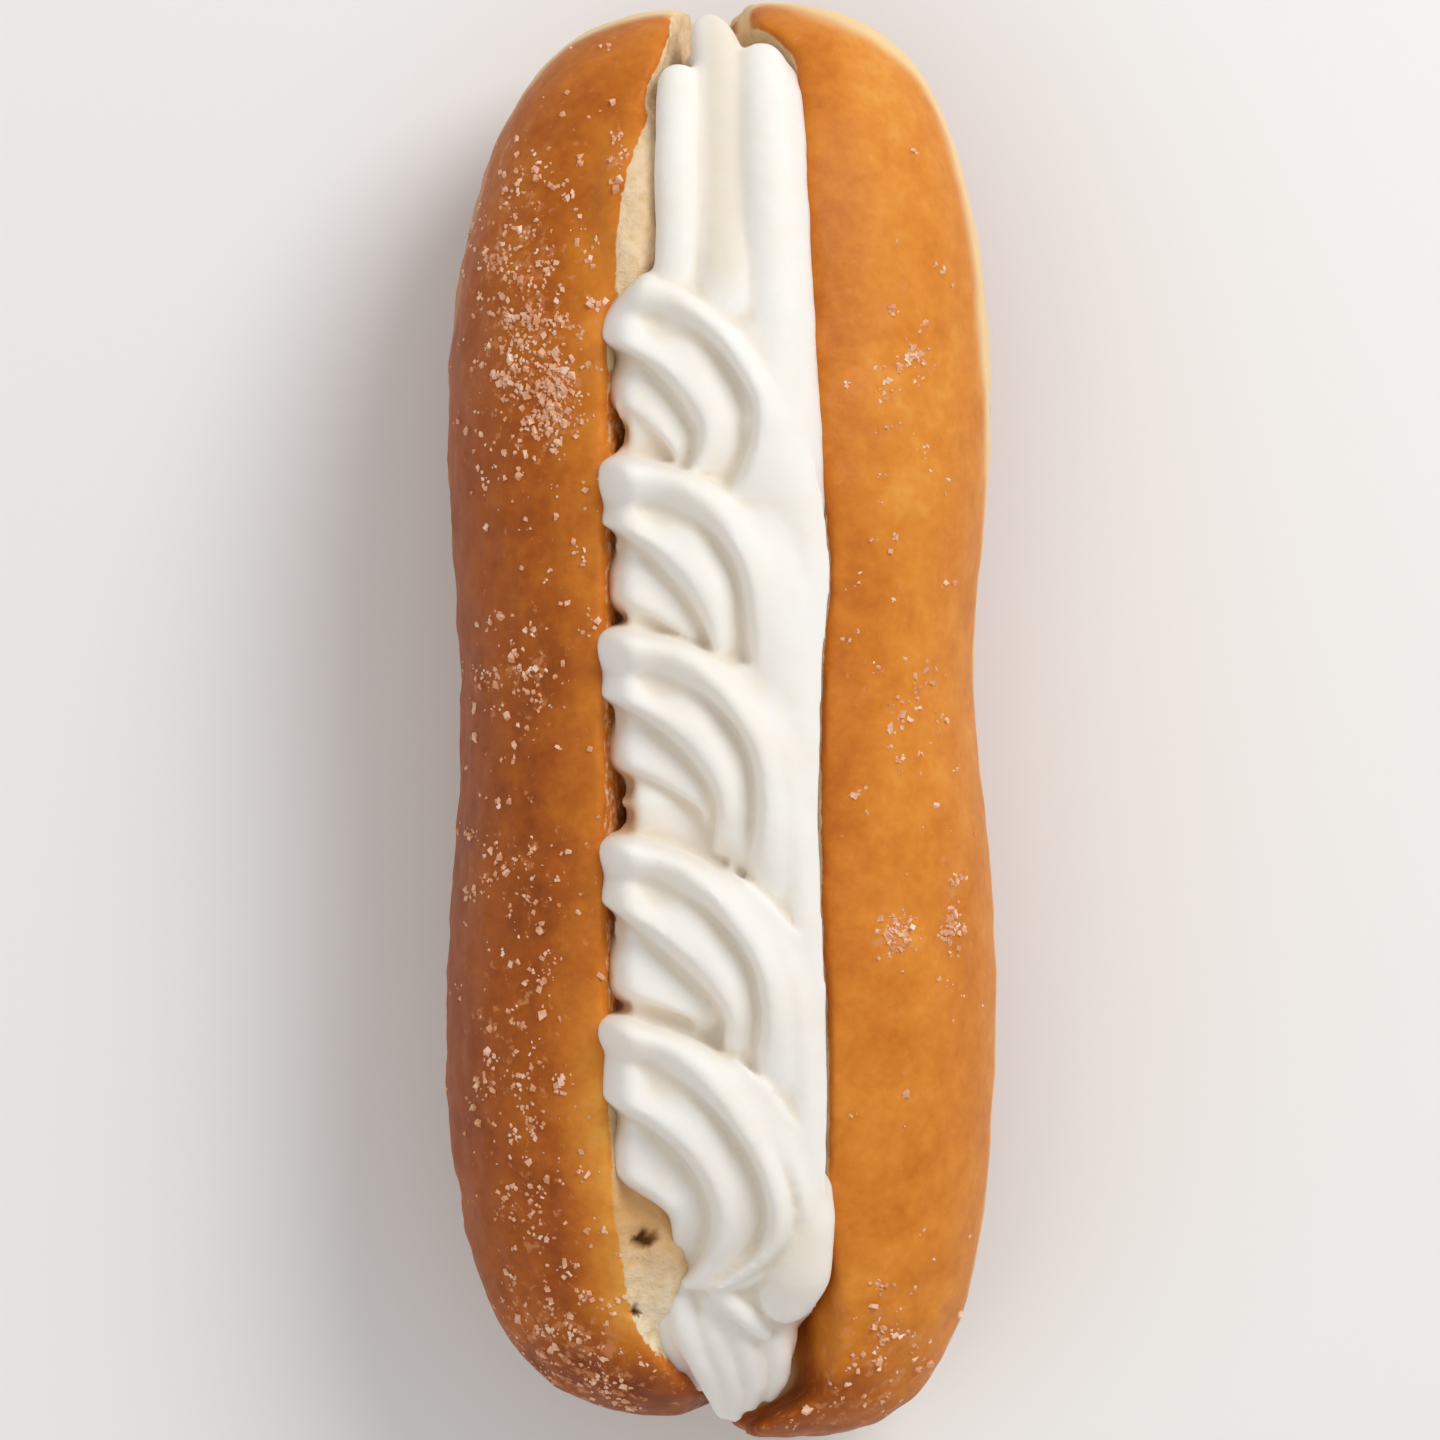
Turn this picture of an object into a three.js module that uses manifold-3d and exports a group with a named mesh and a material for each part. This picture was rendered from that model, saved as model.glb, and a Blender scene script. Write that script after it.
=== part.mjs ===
// A finger doughnut, fried, split along its top and piped full of vanilla cream, with sugar on its crust.
// Millimetres. X runs across it, Y along it and Z up. It lies on its flat underside with the cream on top.
// The origin is on the table, under the middle of the whole.

import * as THREE from "three";
import { mergeVertices } from "three/addons/utils/BufferGeometryUtils.js";
import Module from "manifold-3d";

const wasm = await Module();
wasm.setup();

// The baked halves. Each has its own outline seen from above: how far it reaches from the middle line, how
// much and where it is pinched in, where it ends, and how square its two ends are.
const LEFT_HALF = {
  reach: 32.7, pinch: 3.0, pinchY: -0.5, pinchSpan: 29,
  top: 81.7, bottom: -79.8, topPower: 3.05, bottomPower: 3.6,
};
const RIGHT_HALF = {
  reach: 32.0, pinch: 2.8, pinchY: 5.8, pinchSpan: 21,
  top: 82.4, bottom: -82.4, topPower: 3.55, bottomPower: 4.2,
};
const HALVES_MEET = 8;          // how sharply the left outline gives way to the right one
const WIDEST_Z = 20;            // height of the widest line above the table
const CROWN_RISE = 27;          // from the widest line up to the crown
const BELLY_DROP = 21;          // from the widest line down, before the underside is flattened
const SECTION_POWER = 2.3;      // 2 is an ellipse, more is squarer
const END_POWER = 2.8;          // how blunt the ends are, seen from the side
const LUMP_HEIGHT = 0.45;       // low swellings of the crown
const LUMP_TURNS = { x: 0.09, y: 0.17, skew: 0.03, start: 0.6 };
const LOAF_SIDES = 40;
const LOAF_RINGS = 40;
const END_CROWDING = 1.9;       // draws the rings of faces together towards both ends

// The cut. It opens like a V from a hinge of uncut dough near the underside. Near both ends it leans to the
// right, and each of its edges moves to the right by x around each place y.
const HINGE_Z = 11;
const HINGE_HALF = 1.3;
const CUT_EDGE_Z = 46;
const CUT_TOP_Z = 60;
const CUT_HALF = 12.4;
const CUT_MIDDLE_X = -0.85;
const CUT_WANDER = 0.7;
const CUT_BEYOND_ENDS = 4;
const CUT_LEANS = [{ y: 80, x: 0.9, span: 12 }, { y: -70, x: 2.0, span: 14 }];
const CUT_LEFT_WAVES = [
  { y: 82, x: 2.6, span: 4 }, { y: 76, x: 2.6, span: 13 }, { y: -66, x: -1.0, span: 5 },
  { y: -76.5, x: 4.6, span: 3.8 },
];
const CUT_RIGHT_WAVES = [
  { y: 80, x: -6.8, span: 2.9 }, { y: 40, x: 0.4, span: 14 }, { y: 18, x: 1.8, span: 11 },
  { y: -19, x: -1.0, span: 16 }, { y: -72, x: 2.2, span: 11 }, { y: -81.5, x: -6.5, span: 3 },
];
const CUT_STEPS = 44;
const CUT_LEVELS = 4;

// The cream keeps this far from the dough.
const GAP = 0.35;
const FILLING_GAP = 0.7;
const FILLING_TOP_Y = 79;
const FILLING_BOTTOM_Y = -75;
const FILLING_SHARE = 0.86;     // how much of the crown's rise the filling reaches
const FILLING_STEPS = 16;
const FILLING_CROWDING = 1.5;
const FILLING_SLOPE = { from: 56, to: 75, drop: 9 };    // its top falls away at the lower end
const CREAM_FOLLOWS = 0.85;     // how much of the crown's fall towards the ends the piping follows

// The piped swirls. Each has a centre at the left edge of the cut and three ridges that turn round it.
// A ridge's inner edge has a reach to the right, a rise towards the upper end and a power: 1 is a straight
// slant, 2 an ellipse. A place in a swirl is a depth, 0 at its core and 1 at its outer edge, and a share of
// the way along.
const SWIRL_CENTRE_X = -13.4;
const SWIRL_REACH = 26.3;       // from a centre to the right edge of the cut
const SWIRL_UNDER_EDGE = 0.2;   // how far it stays inside that edge
const SWIRL_START_ANGLE = 91;
const SWIRL_STEPS = 12;
const SWIRL_FLOOR_Z = 37;
const SWIRL_FLOOR_TILT = 0.02;
const SWIRL_FLOOR_SHARE = 0.6;  // how wide a swirl's underside is beside its top
const CORE_EDGE = { reach: 5.0, rise: 0.4, power: 1.2 };
// Four swirls turn down the length and run straight on under the next. The last curls back below its
// centre. Each sinks as it goes, its inner ridges by the first number and its outer edge by the second.
const RUNNING_ON = { arcShare: 0.66, endAngle: 0, drop: 0, innerRun: 3, outerRun: 27, sinks: [6, 2] };
const CURLING_BACK = { arcShare: 1, endAngle: -60, drop: 10.5, innerRun: 0, outerRun: 0, sinks: [6, 3.5] };
const SWIRLS = [
  {
    ...RUNNING_ON, y: 28.2, curl: 8.5, inset: 4.6,
    third: { reach: 8.6, rise: 6.7, power: 1.4 }, second: { reach: 11.5, rise: 13.6, power: 1.65 },
    first: { reach: 17.9, rise: 17.5, power: 2.3 }, outer: { reach: 26.3, rise: 23.0, power: 2.1 },
  },
  {
    ...RUNNING_ON, y: 8.4, curl: 0.5, inset: 0,
    third: { reach: 10.0, rise: 3.8, power: 1.3 }, second: { reach: 12.2, rise: 12.9, power: 1.4 },
    first: { reach: 16.2, rise: 15.6, power: 2.8 }, outer: { reach: 26.3, rise: 22.2, power: 2.1 },
  },
  {
    ...RUNNING_ON, y: -10.3, curl: 1.5, inset: 0,
    third: { reach: 11.5, rise: 4.6, power: 1.2 }, second: { reach: 13.2, rise: 12.2, power: 1.5 },
    first: { reach: 17.6, rise: 15.5, power: 2.4 }, outer: { reach: 26.3, rise: 21.5, power: 2.1 },
  },
  {
    ...RUNNING_ON, y: -33.6, curl: 1.5, inset: 0,
    third: { reach: 10.0, rise: 2.1, power: 1.0 }, second: { reach: 14.2, rise: 12.6, power: 1.15 },
    first: { reach: 18.2, rise: 16.2, power: 2.05 }, outer: { reach: 26.3, rise: 21.5, power: 2.0 },
  },
  {
    ...CURLING_BACK, y: -55.9, curl: 0, inset: 0,
    third: { reach: 7.6, rise: 4.0, power: 1.2 }, second: { reach: 12.2, rise: 12.2, power: 1.65 },
    first: { reach: 18.7, rise: 18.6, power: 1.75 }, outer: { reach: 26.3, rise: 23.6, power: 1.9 },
  },
];
// Across a swirl, every ridge climbs steeply from its foot to its crest and falls gently to the next foot.
const CORE_Z = 38;
const RIDGES = [
  { edge: "third", foot: 0.10, crest: 0.165, footZ: 41.0, crestZ: 46.0 },
  { edge: "second", foot: 0.35, crest: 0.41, footZ: 44.9, crestZ: 49.1 },
  { edge: "first", foot: 0.58, crest: 0.65, footZ: 47.0, crestZ: 51.0 },
];
const OUTER_EDGE = { edge: "outer", foot: 1, footZ: 47.0 };
const RIDGE_BOW = 1.7;
// At the head of a swirl the first ridge is wide, and its groove is still a saddle.
const HEAD = { crest: 0.82, saddleZ: 48.4, narrowsFrom: 0.12, narrowTo: 0.42 };
const GROOVE = { startsFrom: 0.19, startsTo: 0.42, endZ: 49.0, endsFrom: 0.7, endsTo: 0.95 };
const TIP = { reach: 1.8, drop: 3.4, ridgeReach: 4.0, ridgeDrop: 1.4, ridgeDepth: 0.5 };
const HEAD_ROUNDING = { depth: 0.87, drop: 8.0, endsFrom: 0.30, endsTo: 0.60 };
// Beyond a swirl's middle its ridges curl to the left around one depth, and its head is set in to the right.
const CURL = { depth: 0.5, span: 0.35, power: 1.2, outerFrom: 0.65, outerTo: 0.95 };
const INSET = { from: 0.5, reach: 11 };
const FITTED_FROM = 0.6;        // from this depth outwards a swirl is fitted to the right edge of the cut
// Its inner ridges curl back less than its outer ones, and it sinks and runs on by its depth.
const INNER_END = { share: 0.8, fromDepth: 0.2, toDepth: 0.5 };
const SINKING = { fromDepth: 0.1, power: 1.5 };
const RUN_POWER = 4;
// To the right of the ridges all swirls share one flank, which falls towards the edge of the cut.
// There the outer edge of a swirl dips under the swirl above it.
const FLANK = {
  x: 5.0, z: 50.1, width: 8.0, drop: 3.3, power: 1.7, lowest: 1.2,
  fromX: -1.0, toX: 4.0, fromDepth: 0.76, endsFrom: 0.56, endsTo: 0.8,
};
const EDGE_DIP = { fromDepth: 0.86, drop: 0.8 };

// Ropes of cream: places along each as X, Y, the height of its middle and its radius. Three lie along the
// upper end with the nose of a fourth low between them, and one is the round lobe beside the last swirl.
const ROPES = {
  upperLeft: [
    [-4.6, 73.4, 35.0, 2.4], [-4.7, 69.5, 39.2, 2.5], [-4.8, 60.0, 42.2, 2.6], [-4.7, 50.0, 43.8, 2.7],
    [-4.4, 42.0, 44.4, 2.9],
  ],
  upperRight: [
    [4.4, 75.8, 32.4, 2.8], [5.2, 70.0, 38.4, 3.2], [5.6, 58.0, 42.2, 3.5], [5.8, 46.0, 44.2, 3.7],
    [5.8, 30.0, 45.4, 3.7],
  ],
  upperFlank: [
    [6.2, 73.8, 31.8, 2.4], [6.8, 70.0, 36.6, 2.9], [6.7, 58.0, 40.8, 3.5], [6.6, 46.0, 43.0, 3.9],
    [7.4, 32.0, 43.6, 4.2], [8.1, 20.0, 43.4, 3.9],
  ],
  nose: [
    [-1.9, 80.0, 28.8, 1.9], [-0.6, 76.5, 31.6, 2.9], [0.4, 70.0, 36.2, 3.8], [0.6, 56.0, 40.6, 4.2],
    [0.8, 42.0, 44.4, 4.4],
  ],
  lowerLobe: [
    [10.2, -50.0, 40.6, 2.4], [9.8, -56.0, 41.8, 3.2], [8.9, -62.0, 40.0, 3.8], [7.2, -65.4, 37.4, 3.4],
    [5.6, -66.8, 36.2, 2.8],
  ],
};
const ROPE_SIDES = 10;
const ROPE_RINGS = 12;

// The last of the cream: fine ribs that run together into a tail. Places along its top, each with a width.
const TAIL_RIBS = 5;
const TAIL_STEPS = 10;
const TAIL_PATH = [
  [0.6, -52.0, 40.5, 17], [0.8, -60.0, 40.0, 18], [1.2, -68.0, 37.6, 16.5], [1.8, -74.0, 33.6, 12.5],
  [1.4, -78.0, 29.6, 7.5], [0.4, -80.9, 25.5, 2.5],
];
const TAIL_BOW = 4.0;           // how far its sides hang below its middle
const TAIL_RIB_HEIGHT = 1.4;
const TAIL_RIB_FADE = 0.5;      // how much lower its ribs are at its end
const TAIL_THICKNESS = { start: 9, end: 5 };

// Sugar on the crust: patches, each with a middle, a spread along X and Y and a number of clumps.
const SUGAR_PATCHES = [
  { x: -21.0, y: 41.0, spreadX: 4.0, spreadY: 9.0, count: 20 },
  { x: -22.0, y: 58.0, spreadX: 5.0, spreadY: 8.0, count: 11 },
  { x: -23.0, y: 5.0, spreadX: 3.5, spreadY: 5.0, count: 7 },
  { x: -23.0, y: -17.0, spreadX: 4.5, spreadY: 6.0, count: 7 },
  { x: -24.0, y: -35.0, spreadX: 4.0, spreadY: 7.0, count: 8 },
  { x: -20.5, y: -62.0, spreadX: 5.0, spreadY: 9.0, count: 20 },
  { x: 22.6, y: 40.0, spreadX: 1.6, spreadY: 1.6, count: 3 },
  { x: 19.0, y: -24.2, spreadX: 1.6, spreadY: 1.4, count: 3 },
  { x: 25.8, y: -22.0, spreadX: 1.2, spreadY: 5.0, count: 5 },
  { x: 19.5, y: 2.0, spreadX: 4.0, spreadY: 7.0, count: 6 },
  { x: 19.5, y: -66.0, spreadX: 3.0, spreadY: 6.0, count: 4 },
];
const SUGAR_SCATTER = 1.4;      // how far clumps stray, in spreads
const CLUMP_RADIUS = 0.75;
const CLUMP_GROWTH = [0.8, 1.5];
const CLUMP_FLATNESS = [0.7, 1.0];
const CLUMP_RAISED = 0.2;       // times the radius
const SUGAR_EDGE_CLEARANCE = 3.0;
const SUGAR_LOWEST_Z = 25;
const SUGAR_SEED = 7;

const MERGE_DISTANCE = 1e-5;
const POINT_GRID = 0.02;
const SETTLING_PASSES = 3;
const STREAM = { factor: 1664525, step: 1013904223, range: 4294967296 };

const mix = (a, b, share) => a + (b - a) * share;
const bell = (distance, span) => Math.exp(-((distance / span) ** 2));
const signedPower = (value, power) => Math.sign(value) * Math.abs(value) ** power;
const smoothStep = (low, high, value) => THREE.MathUtils.smoothstep(value, low, high);

// A repeatable stream of numbers from 0 to 1.
function seededStream(seed) {
  let state = seed;
  return () => {
    state = (state * STREAM.factor + STREAM.step) % STREAM.range;
    return state / STREAM.range;
  };
}

// A closed geometry becomes a solid that can be cut and joined.
function solidOf(geometry) {
  geometry.deleteAttribute("normal");
  geometry.deleteAttribute("uv");
  const merged = mergeVertices(geometry, MERGE_DISTANCE);
  return new wasm.Manifold(new wasm.Mesh({
    numProp: 3,
    vertProperties: new Float32Array(merged.attributes.position.array),
    triVerts: new Uint32Array(merged.index.array),
  }));
}

function geometryOf(solid) {
  const { vertProperties, triVerts } = solid.getMesh();
  const geometry = new THREE.BufferGeometry();
  geometry.setAttribute("position", new THREE.BufferAttribute(new Float32Array(vertProperties), 3));
  geometry.setIndex(new THREE.BufferAttribute(new Uint32Array(triVerts), 1));
  geometry.computeVertexNormals();
  return geometry;
}

function joined(solids) {
  return solids.reduce((whole, solid) => whole.add(solid));
}

// A cut can leave loose scraps: only the largest body stays.
function largestOf(solid) {
  return solid.decompose().reduce((large, body) => (body.volume() > large.volume() ? body : large));
}

// Every vertex of a geometry is moved to where the given function puts it.
function reshaped(geometry, place) {
  const positions = geometry.attributes.position;
  for (let i = 0; i < positions.count; i += 1) {
    const { x, y, z } = place(positions.getX(i), positions.getY(i), positions.getZ(i));
    positions.setXYZ(i, x, y, z);
  }
  return geometry;
}

// Cuts and joins leave points almost on top of each other: all points go to a fine grid, where such points
// meet. What they held together may then come loose, so this is done until only one clean body is left.
function settled(solid) {
  const toGrid = (value) => Math.round(value / POINT_GRID) * POINT_GRID;
  let clean = largestOf(solid);
  for (let pass = 0; pass < SETTLING_PASSES; pass += 1) {
    const onGrid = reshaped(geometryOf(clean), (x, y, z) => ({ x: toGrid(x), y: toGrid(y), z: toGrid(z) }));
    clean = largestOf(solidOf(onGrid));
  }
  return clean;
}

// How full a section is at a place along the loaf: 1 in the middle, 0 at both tips.
function fullness(along, power) {
  return Math.max(0, 1 - Math.abs(along) ** power) ** (1 / power);
}

function halfWidth(half, along, y) {
  const power = along > 0 ? half.topPower : half.bottomPower;
  return (half.reach - half.pinch * bell(y - half.pinchY, half.pinchSpan)) * fullness(along, power);
}

// How far the crown has fallen below its full height at a place along the loaf.
function crownFall(y) {
  return CROWN_RISE * (1 - fullness(y / RIGHT_HALF.top, END_POWER));
}

function lump(x, y) {
  const { x: turnX, y: turnY, skew, start } = LUMP_TURNS;
  return LUMP_HEIGHT * Math.sin(turnY * y + start) * Math.cos(turnX * x + skew * y);
}

// The loaf before it is cut: a ball drawn out to the outline, with a flat underside.
function loafSolid(growth) {
  const ball = new THREE.SphereGeometry(1, LOAF_SIDES, LOAF_RINGS);
  return solidOf(reshaped(ball, (ballX, ballY, ballZ) => {
    const turn = 1 - (2 * Math.acos(THREE.MathUtils.clamp(ballY, -1, 1))) / Math.PI;
    const along = Math.sign(turn) * (1 - (1 - Math.abs(turn)) ** END_CROWDING);
    const angle = Math.atan2(ballZ, ballX);
    const across = signedPower(Math.cos(angle), 2 / SECTION_POWER);
    const up = signedPower(Math.sin(angle), 2 / SECTION_POWER);
    const endShare = fullness(along, END_POWER);
    const rightShare = 0.5 + 0.5 * Math.tanh(HALVES_MEET * across * Math.min(1, 3 * endShare));
    const top = mix(LEFT_HALF.top, RIGHT_HALF.top, rightShare) + growth;
    const bottom = mix(LEFT_HALF.bottom, RIGHT_HALF.bottom, rightShare) - growth;
    const y = mix(bottom, top, (along + 1) / 2);
    const left = halfWidth(LEFT_HALF, along, y);
    const right = halfWidth(RIGHT_HALF, along, y);
    const x = across * (mix(left, right, rightShare) + growth * endShare);
    const tall = (up > 0 ? CROWN_RISE : BELLY_DROP) + growth;
    const z = WIDEST_Z + up * tall * endShare + lump(x, y) * Math.max(0, up) * endShare;
    return { x, y, z: Math.max(z, growth > 0 ? -growth : 0) };
  }));
}

// The height of the crust under a place seen from above.
function crustHeight(x, y) {
  const half = x < 0 ? LEFT_HALF : RIGHT_HALF;
  const along = (2 * (y - half.bottom)) / (half.top - half.bottom) - 1;
  const across = Math.abs(x) / halfWidth(half, along, y);
  const up = fullness(across, SECTION_POWER);
  const endShare = fullness(along, END_POWER);
  return WIDEST_Z + up * CROWN_RISE * endShare + lump(x, y) * up * endShare;
}

// The cut: a wedge that runs right through both ends, open at the top.
function cutWander(y) {
  return CUT_WANDER * Math.sin((Math.PI * y) / RIGHT_HALF.top);
}

function shiftAt(y, waves) {
  return waves.reduce((sum, wave) => sum + wave.x * bell(y - wave.y, wave.span), 0);
}

function cutMiddle(y) {
  const waves = (shiftAt(y, CUT_LEFT_WAVES) + shiftAt(y, CUT_RIGHT_WAVES)) / 2;
  return CUT_MIDDLE_X - cutWander(y) + shiftAt(y, CUT_LEANS) + waves;
}

function cutHalfWidth(y, z) {
  const waves = (shiftAt(y, CUT_RIGHT_WAVES) - shiftAt(y, CUT_LEFT_WAVES)) / 2;
  const opening = (CUT_HALF - cutWander(y) + waves) / (CUT_EDGE_Z - HINGE_Z);
  return Math.hypot(opening * (z - HINGE_Z), HINGE_HALF);
}

function cutRightEdge(y) {
  return cutMiddle(y) + cutHalfWidth(y, CUT_EDGE_Z - crownFall(y));
}

function cutSolid(growth) {
  const block = new THREE.BoxGeometry(2, 2, 2, 1, CUT_STEPS, CUT_LEVELS);
  return solidOf(reshaped(block, (a, b, c) => {
    const y = b * (RIGHT_HALF.top + CUT_BEYOND_ENDS);
    const z = mix(HINGE_Z - growth, CUT_TOP_Z, (c + 1) / 2);
    return { x: cutMiddle(y) + a * (cutHalfWidth(y, Math.max(z, HINGE_Z)) + growth), y, z };
  }));
}

// A number read between the entries of a list, at a share of the way along it.
function readAlong(list, share) {
  const place = share * (list.length - 1);
  const step = Math.min(Math.floor(place), list.length - 2);
  return mix(list[step], list[step + 1], place - step);
}

function curveThrough(places) {
  return new THREE.CatmullRomCurve3(places.map(([x, y, z]) => new THREE.Vector3(x, y, z)));
}

// A rope of cream with rounded ends, through the given places.
function rope(places) {
  const path = curveThrough(places);
  const radii = places.map(([, , , radius]) => radius);
  const ball = new THREE.SphereGeometry(1, ROPE_SIDES, ROPE_RINGS);
  const up = new THREE.Vector3(0, 0, 1);
  const length = path.getLength();
  return solidOf(reshaped(ball, (ballX, ballY, ballZ) => {
    const turn = Math.acos(THREE.MathUtils.clamp(ballY, -1, 1)) / Math.PI;
    const share = turn - (0.5 * Math.sin(2 * Math.PI * turn)) / (2 * Math.PI);
    const middle = path.getPointAt(share);
    const ahead = path.getTangentAt(share);
    const aside = new THREE.Vector3().crossVectors(up, ahead).normalize();
    const above = new THREE.Vector3().crossVectors(ahead, aside);
    const thick = readAlong(radii, share);
    const toEnd = Math.min(1, (Math.min(share, 1 - share) * length) / thick);
    const full = thick * Math.sqrt(Math.max(0, 1 - (1 - toEnd) ** 2));
    const angle = Math.atan2(ballZ, ballX);
    middle.addScaledVector(aside, full * Math.cos(angle));
    middle.addScaledVector(above, full * Math.sin(angle));
    return middle;
  }));
}

// The depths across a swirl where its surface bends.
function bendingDepths() {
  const depths = [0];
  RIDGES.forEach((ridge, i) => {
    const next = RIDGES[i + 1] ?? OUTER_EDGE;
    depths.push(ridge.foot, mix(ridge.foot, ridge.crest, 0.5), ridge.crest, mix(ridge.crest, next.foot, 0.5));
  });
  return [...depths, OUTER_EDGE.foot];
}

// The inner edge at a depth of a swirl, between the edges of the ridges around it.
function edgeAt(facts, depth) {
  const named = [{ foot: 0, ...CORE_EDGE }];
  [...RIDGES, OUTER_EDGE].forEach(({ edge, foot }) => named.push({ foot, ...facts[edge] }));
  const step = named.findIndex(({ foot }) => foot >= depth && foot > 0);
  const [before, after] = [named[step - 1], named[step]];
  const share = (depth - before.foot) / (after.foot - before.foot);
  return {
    reach: mix(before.reach, after.reach, share),
    rise: mix(before.rise, after.rise, share),
    power: mix(before.power, after.power, share),
  };
}

// How far a place on an edge lies to the right of the swirl's centre, and how far above it.
function alongEdge(edge, angle, drop) {
  const power = angle > 0 ? edge.power : 2;
  const above = edge.rise * Math.max(0, Math.sin(angle)) ** (2 / edge.power);
  const below = drop * Math.max(0, -Math.sin(angle));
  return { out: edge.reach * signedPower(Math.cos(angle), 2 / power), rise: above - below };
}

// The height across the ridges at a share of the way along them.
function ridgeHeight(depth, share) {
  const grooved = smoothStep(GROOVE.startsFrom, GROOVE.startsTo, share);
  const narrowed = smoothStep(HEAD.narrowsFrom, HEAD.narrowTo, share);
  const ended = smoothStep(GROOVE.endsFrom, GROOVE.endsTo, share);
  const [third, second, first] = RIDGES;
  const widening = {
    ...first,
    crest: mix(HEAD.crest, first.crest, narrowed),
    footZ: mix(mix(HEAD.saddleZ, first.footZ, grooved), GROOVE.endZ, ended),
  };
  const ridges = [third, second, widening, OUTER_EDGE];
  if (depth < third.foot) {
    return mix(CORE_Z, third.footZ, depth / third.foot);
  }
  const at = Math.max(0, ridges.findIndex(({ foot }) => foot > depth) - 1);
  const ridge = depth < OUTER_EDGE.foot ? ridges[at] : widening;
  const next = ridges[ridges.indexOf(ridge) + 1];
  if (depth < ridge.crest) {
    const climb = (depth - ridge.foot) / (ridge.crest - ridge.foot);
    return mix(ridge.footZ, ridge.crestZ, Math.sin((climb * Math.PI) / 2));
  }
  const fall = (depth - ridge.crest) / (next.foot - ridge.crest);
  return mix(ridge.crestZ, next.footZ, fall ** RIDGE_BOW);
}

// One swirl: ridges that start over the left edge of the cut, rise, turn down the length and sink.
function swirl(facts) {
  const depths = bendingDepths();
  const last = depths.length - 1;
  const block = new THREE.BoxGeometry(2, 2, 2, SWIRL_STEPS, last, 1);
  return solidOf(reshaped(block, (a, b, c) => {
    const share = (a + 1) / 2;
    const depth = depths[Math.round(((b + 1) / 2) * last)];
    const turned = Math.min(1, share / facts.arcShare);
    const straight = Math.max(0, share - facts.arcShare) / Math.max(1 - facts.arcShare, MERGE_DISTANCE);
    const curledBack = smoothStep(INNER_END.fromDepth, INNER_END.toDepth, depth);
    const endAngle = facts.endAngle * mix(INNER_END.share, 1, curledBack);
    const angle = THREE.MathUtils.degToRad(mix(SWIRL_START_ANGLE, endAngle, turned));
    const { out, rise } = alongEdge(edgeAt(facts, depth), angle, facts.drop);
    const y = facts.y + rise - mix(facts.innerRun, facts.outerRun, depth ** RUN_POWER) * straight;
    const pastMiddle = Math.max(0, 2 * share - 1);

    const curl = facts.curl * pastMiddle ** CURL.power * bell(depth - CURL.depth, CURL.span);
    const curled = out - curl * (1 - smoothStep(CURL.outerFrom, CURL.outerTo, depth));
    const toRight = cutRightEdge(y) - SWIRL_UNDER_EDGE - SWIRL_CENTRE_X;
    const fitted = mix(1, toRight / SWIRL_REACH, smoothStep(FITTED_FROM, 1, depth));
    const inset = facts.inset * smoothStep(INSET.from, 1, depth) * Math.max(0, 1 - out / INSET.reach) ** 2;
    const x = SWIRL_CENTRE_X + fitted * curled + inset;
    const fall = CREAM_FOLLOWS * crownFall(y);
    const floor = SWIRL_FLOOR_Z - SWIRL_FLOOR_TILT * facts.y - fall;
    if (c < 0) {
      return { x: mix(cutMiddle(y), x, SWIRL_FLOOR_SHARE), y, z: floor };
    }
    const leavesFlank = facts.drop > 0 ? smoothStep(FLANK.endsFrom, FLANK.endsTo, share) : 0;
    const flat = smoothStep(FLANK.fromX, FLANK.toX, x) * (1 - leavesFlank);
    const atHead = 1 - smoothStep(HEAD_ROUNDING.endsFrom, HEAD_ROUNDING.endsTo, share);
    const outermost = Math.max(0, (depth - HEAD_ROUNDING.depth) / (1 - HEAD_ROUNDING.depth)) ** 2;
    const rounding = HEAD_ROUNDING.drop * atHead * (1 - flat) * outermost;
    const ridgeTip = depth < TIP.ridgeDepth ? TIP.ridgeDrop * Math.max(0, 1 - out / TIP.ridgeReach) ** 2 : 0;
    const tip = TIP.drop * Math.max(0, 1 - out / TIP.reach) ** 2 + ridgeTip;
    const sunk = mix(...facts.sinks, smoothStep(SINKING.fromDepth, 1, depth));
    const own = ridgeHeight(depth, share) - tip - sunk * pastMiddle ** SINKING.power - rounding;
    const down = THREE.MathUtils.clamp((x - FLANK.x) / FLANK.width, 0, FLANK.lowest) ** FLANK.power;
    const shared = mix(own, FLANK.z - FLANK.drop * down, flat * smoothStep(FLANK.fromDepth, 1, depth));
    const height = shared - EDGE_DIP.drop * flat * smoothStep(EDGE_DIP.fromDepth, 1, depth) - fall;
    return { x, y, z: Math.max(height, floor + 1) };
  }));
}

// The tail: a bowed tongue with ribs along its top.
function tail() {
  const path = curveThrough(TAIL_PATH);
  const widths = TAIL_PATH.map(([, , , width]) => width);
  const block = new THREE.BoxGeometry(2, 2, 2, 2 * TAIL_RIBS, TAIL_STEPS, 1);
  return solidOf(reshaped(block, (a, b, c) => {
    const share = (1 - b) / 2;
    const spine = path.getPoint(share);
    const rib = Math.abs(Math.sin((Math.PI * TAIL_RIBS * (a + 1)) / 2));
    const z = spine.z - TAIL_BOW * a * a + TAIL_RIB_HEIGHT * rib * (1 - TAIL_RIB_FADE * share);
    const under = z - mix(TAIL_THICKNESS.start, TAIL_THICKNESS.end, share);
    return { x: spine.x + (a * readAlong(widths, share)) / 2, y: spine.y, z: c > 0 ? z : under };
  }));
}

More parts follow.
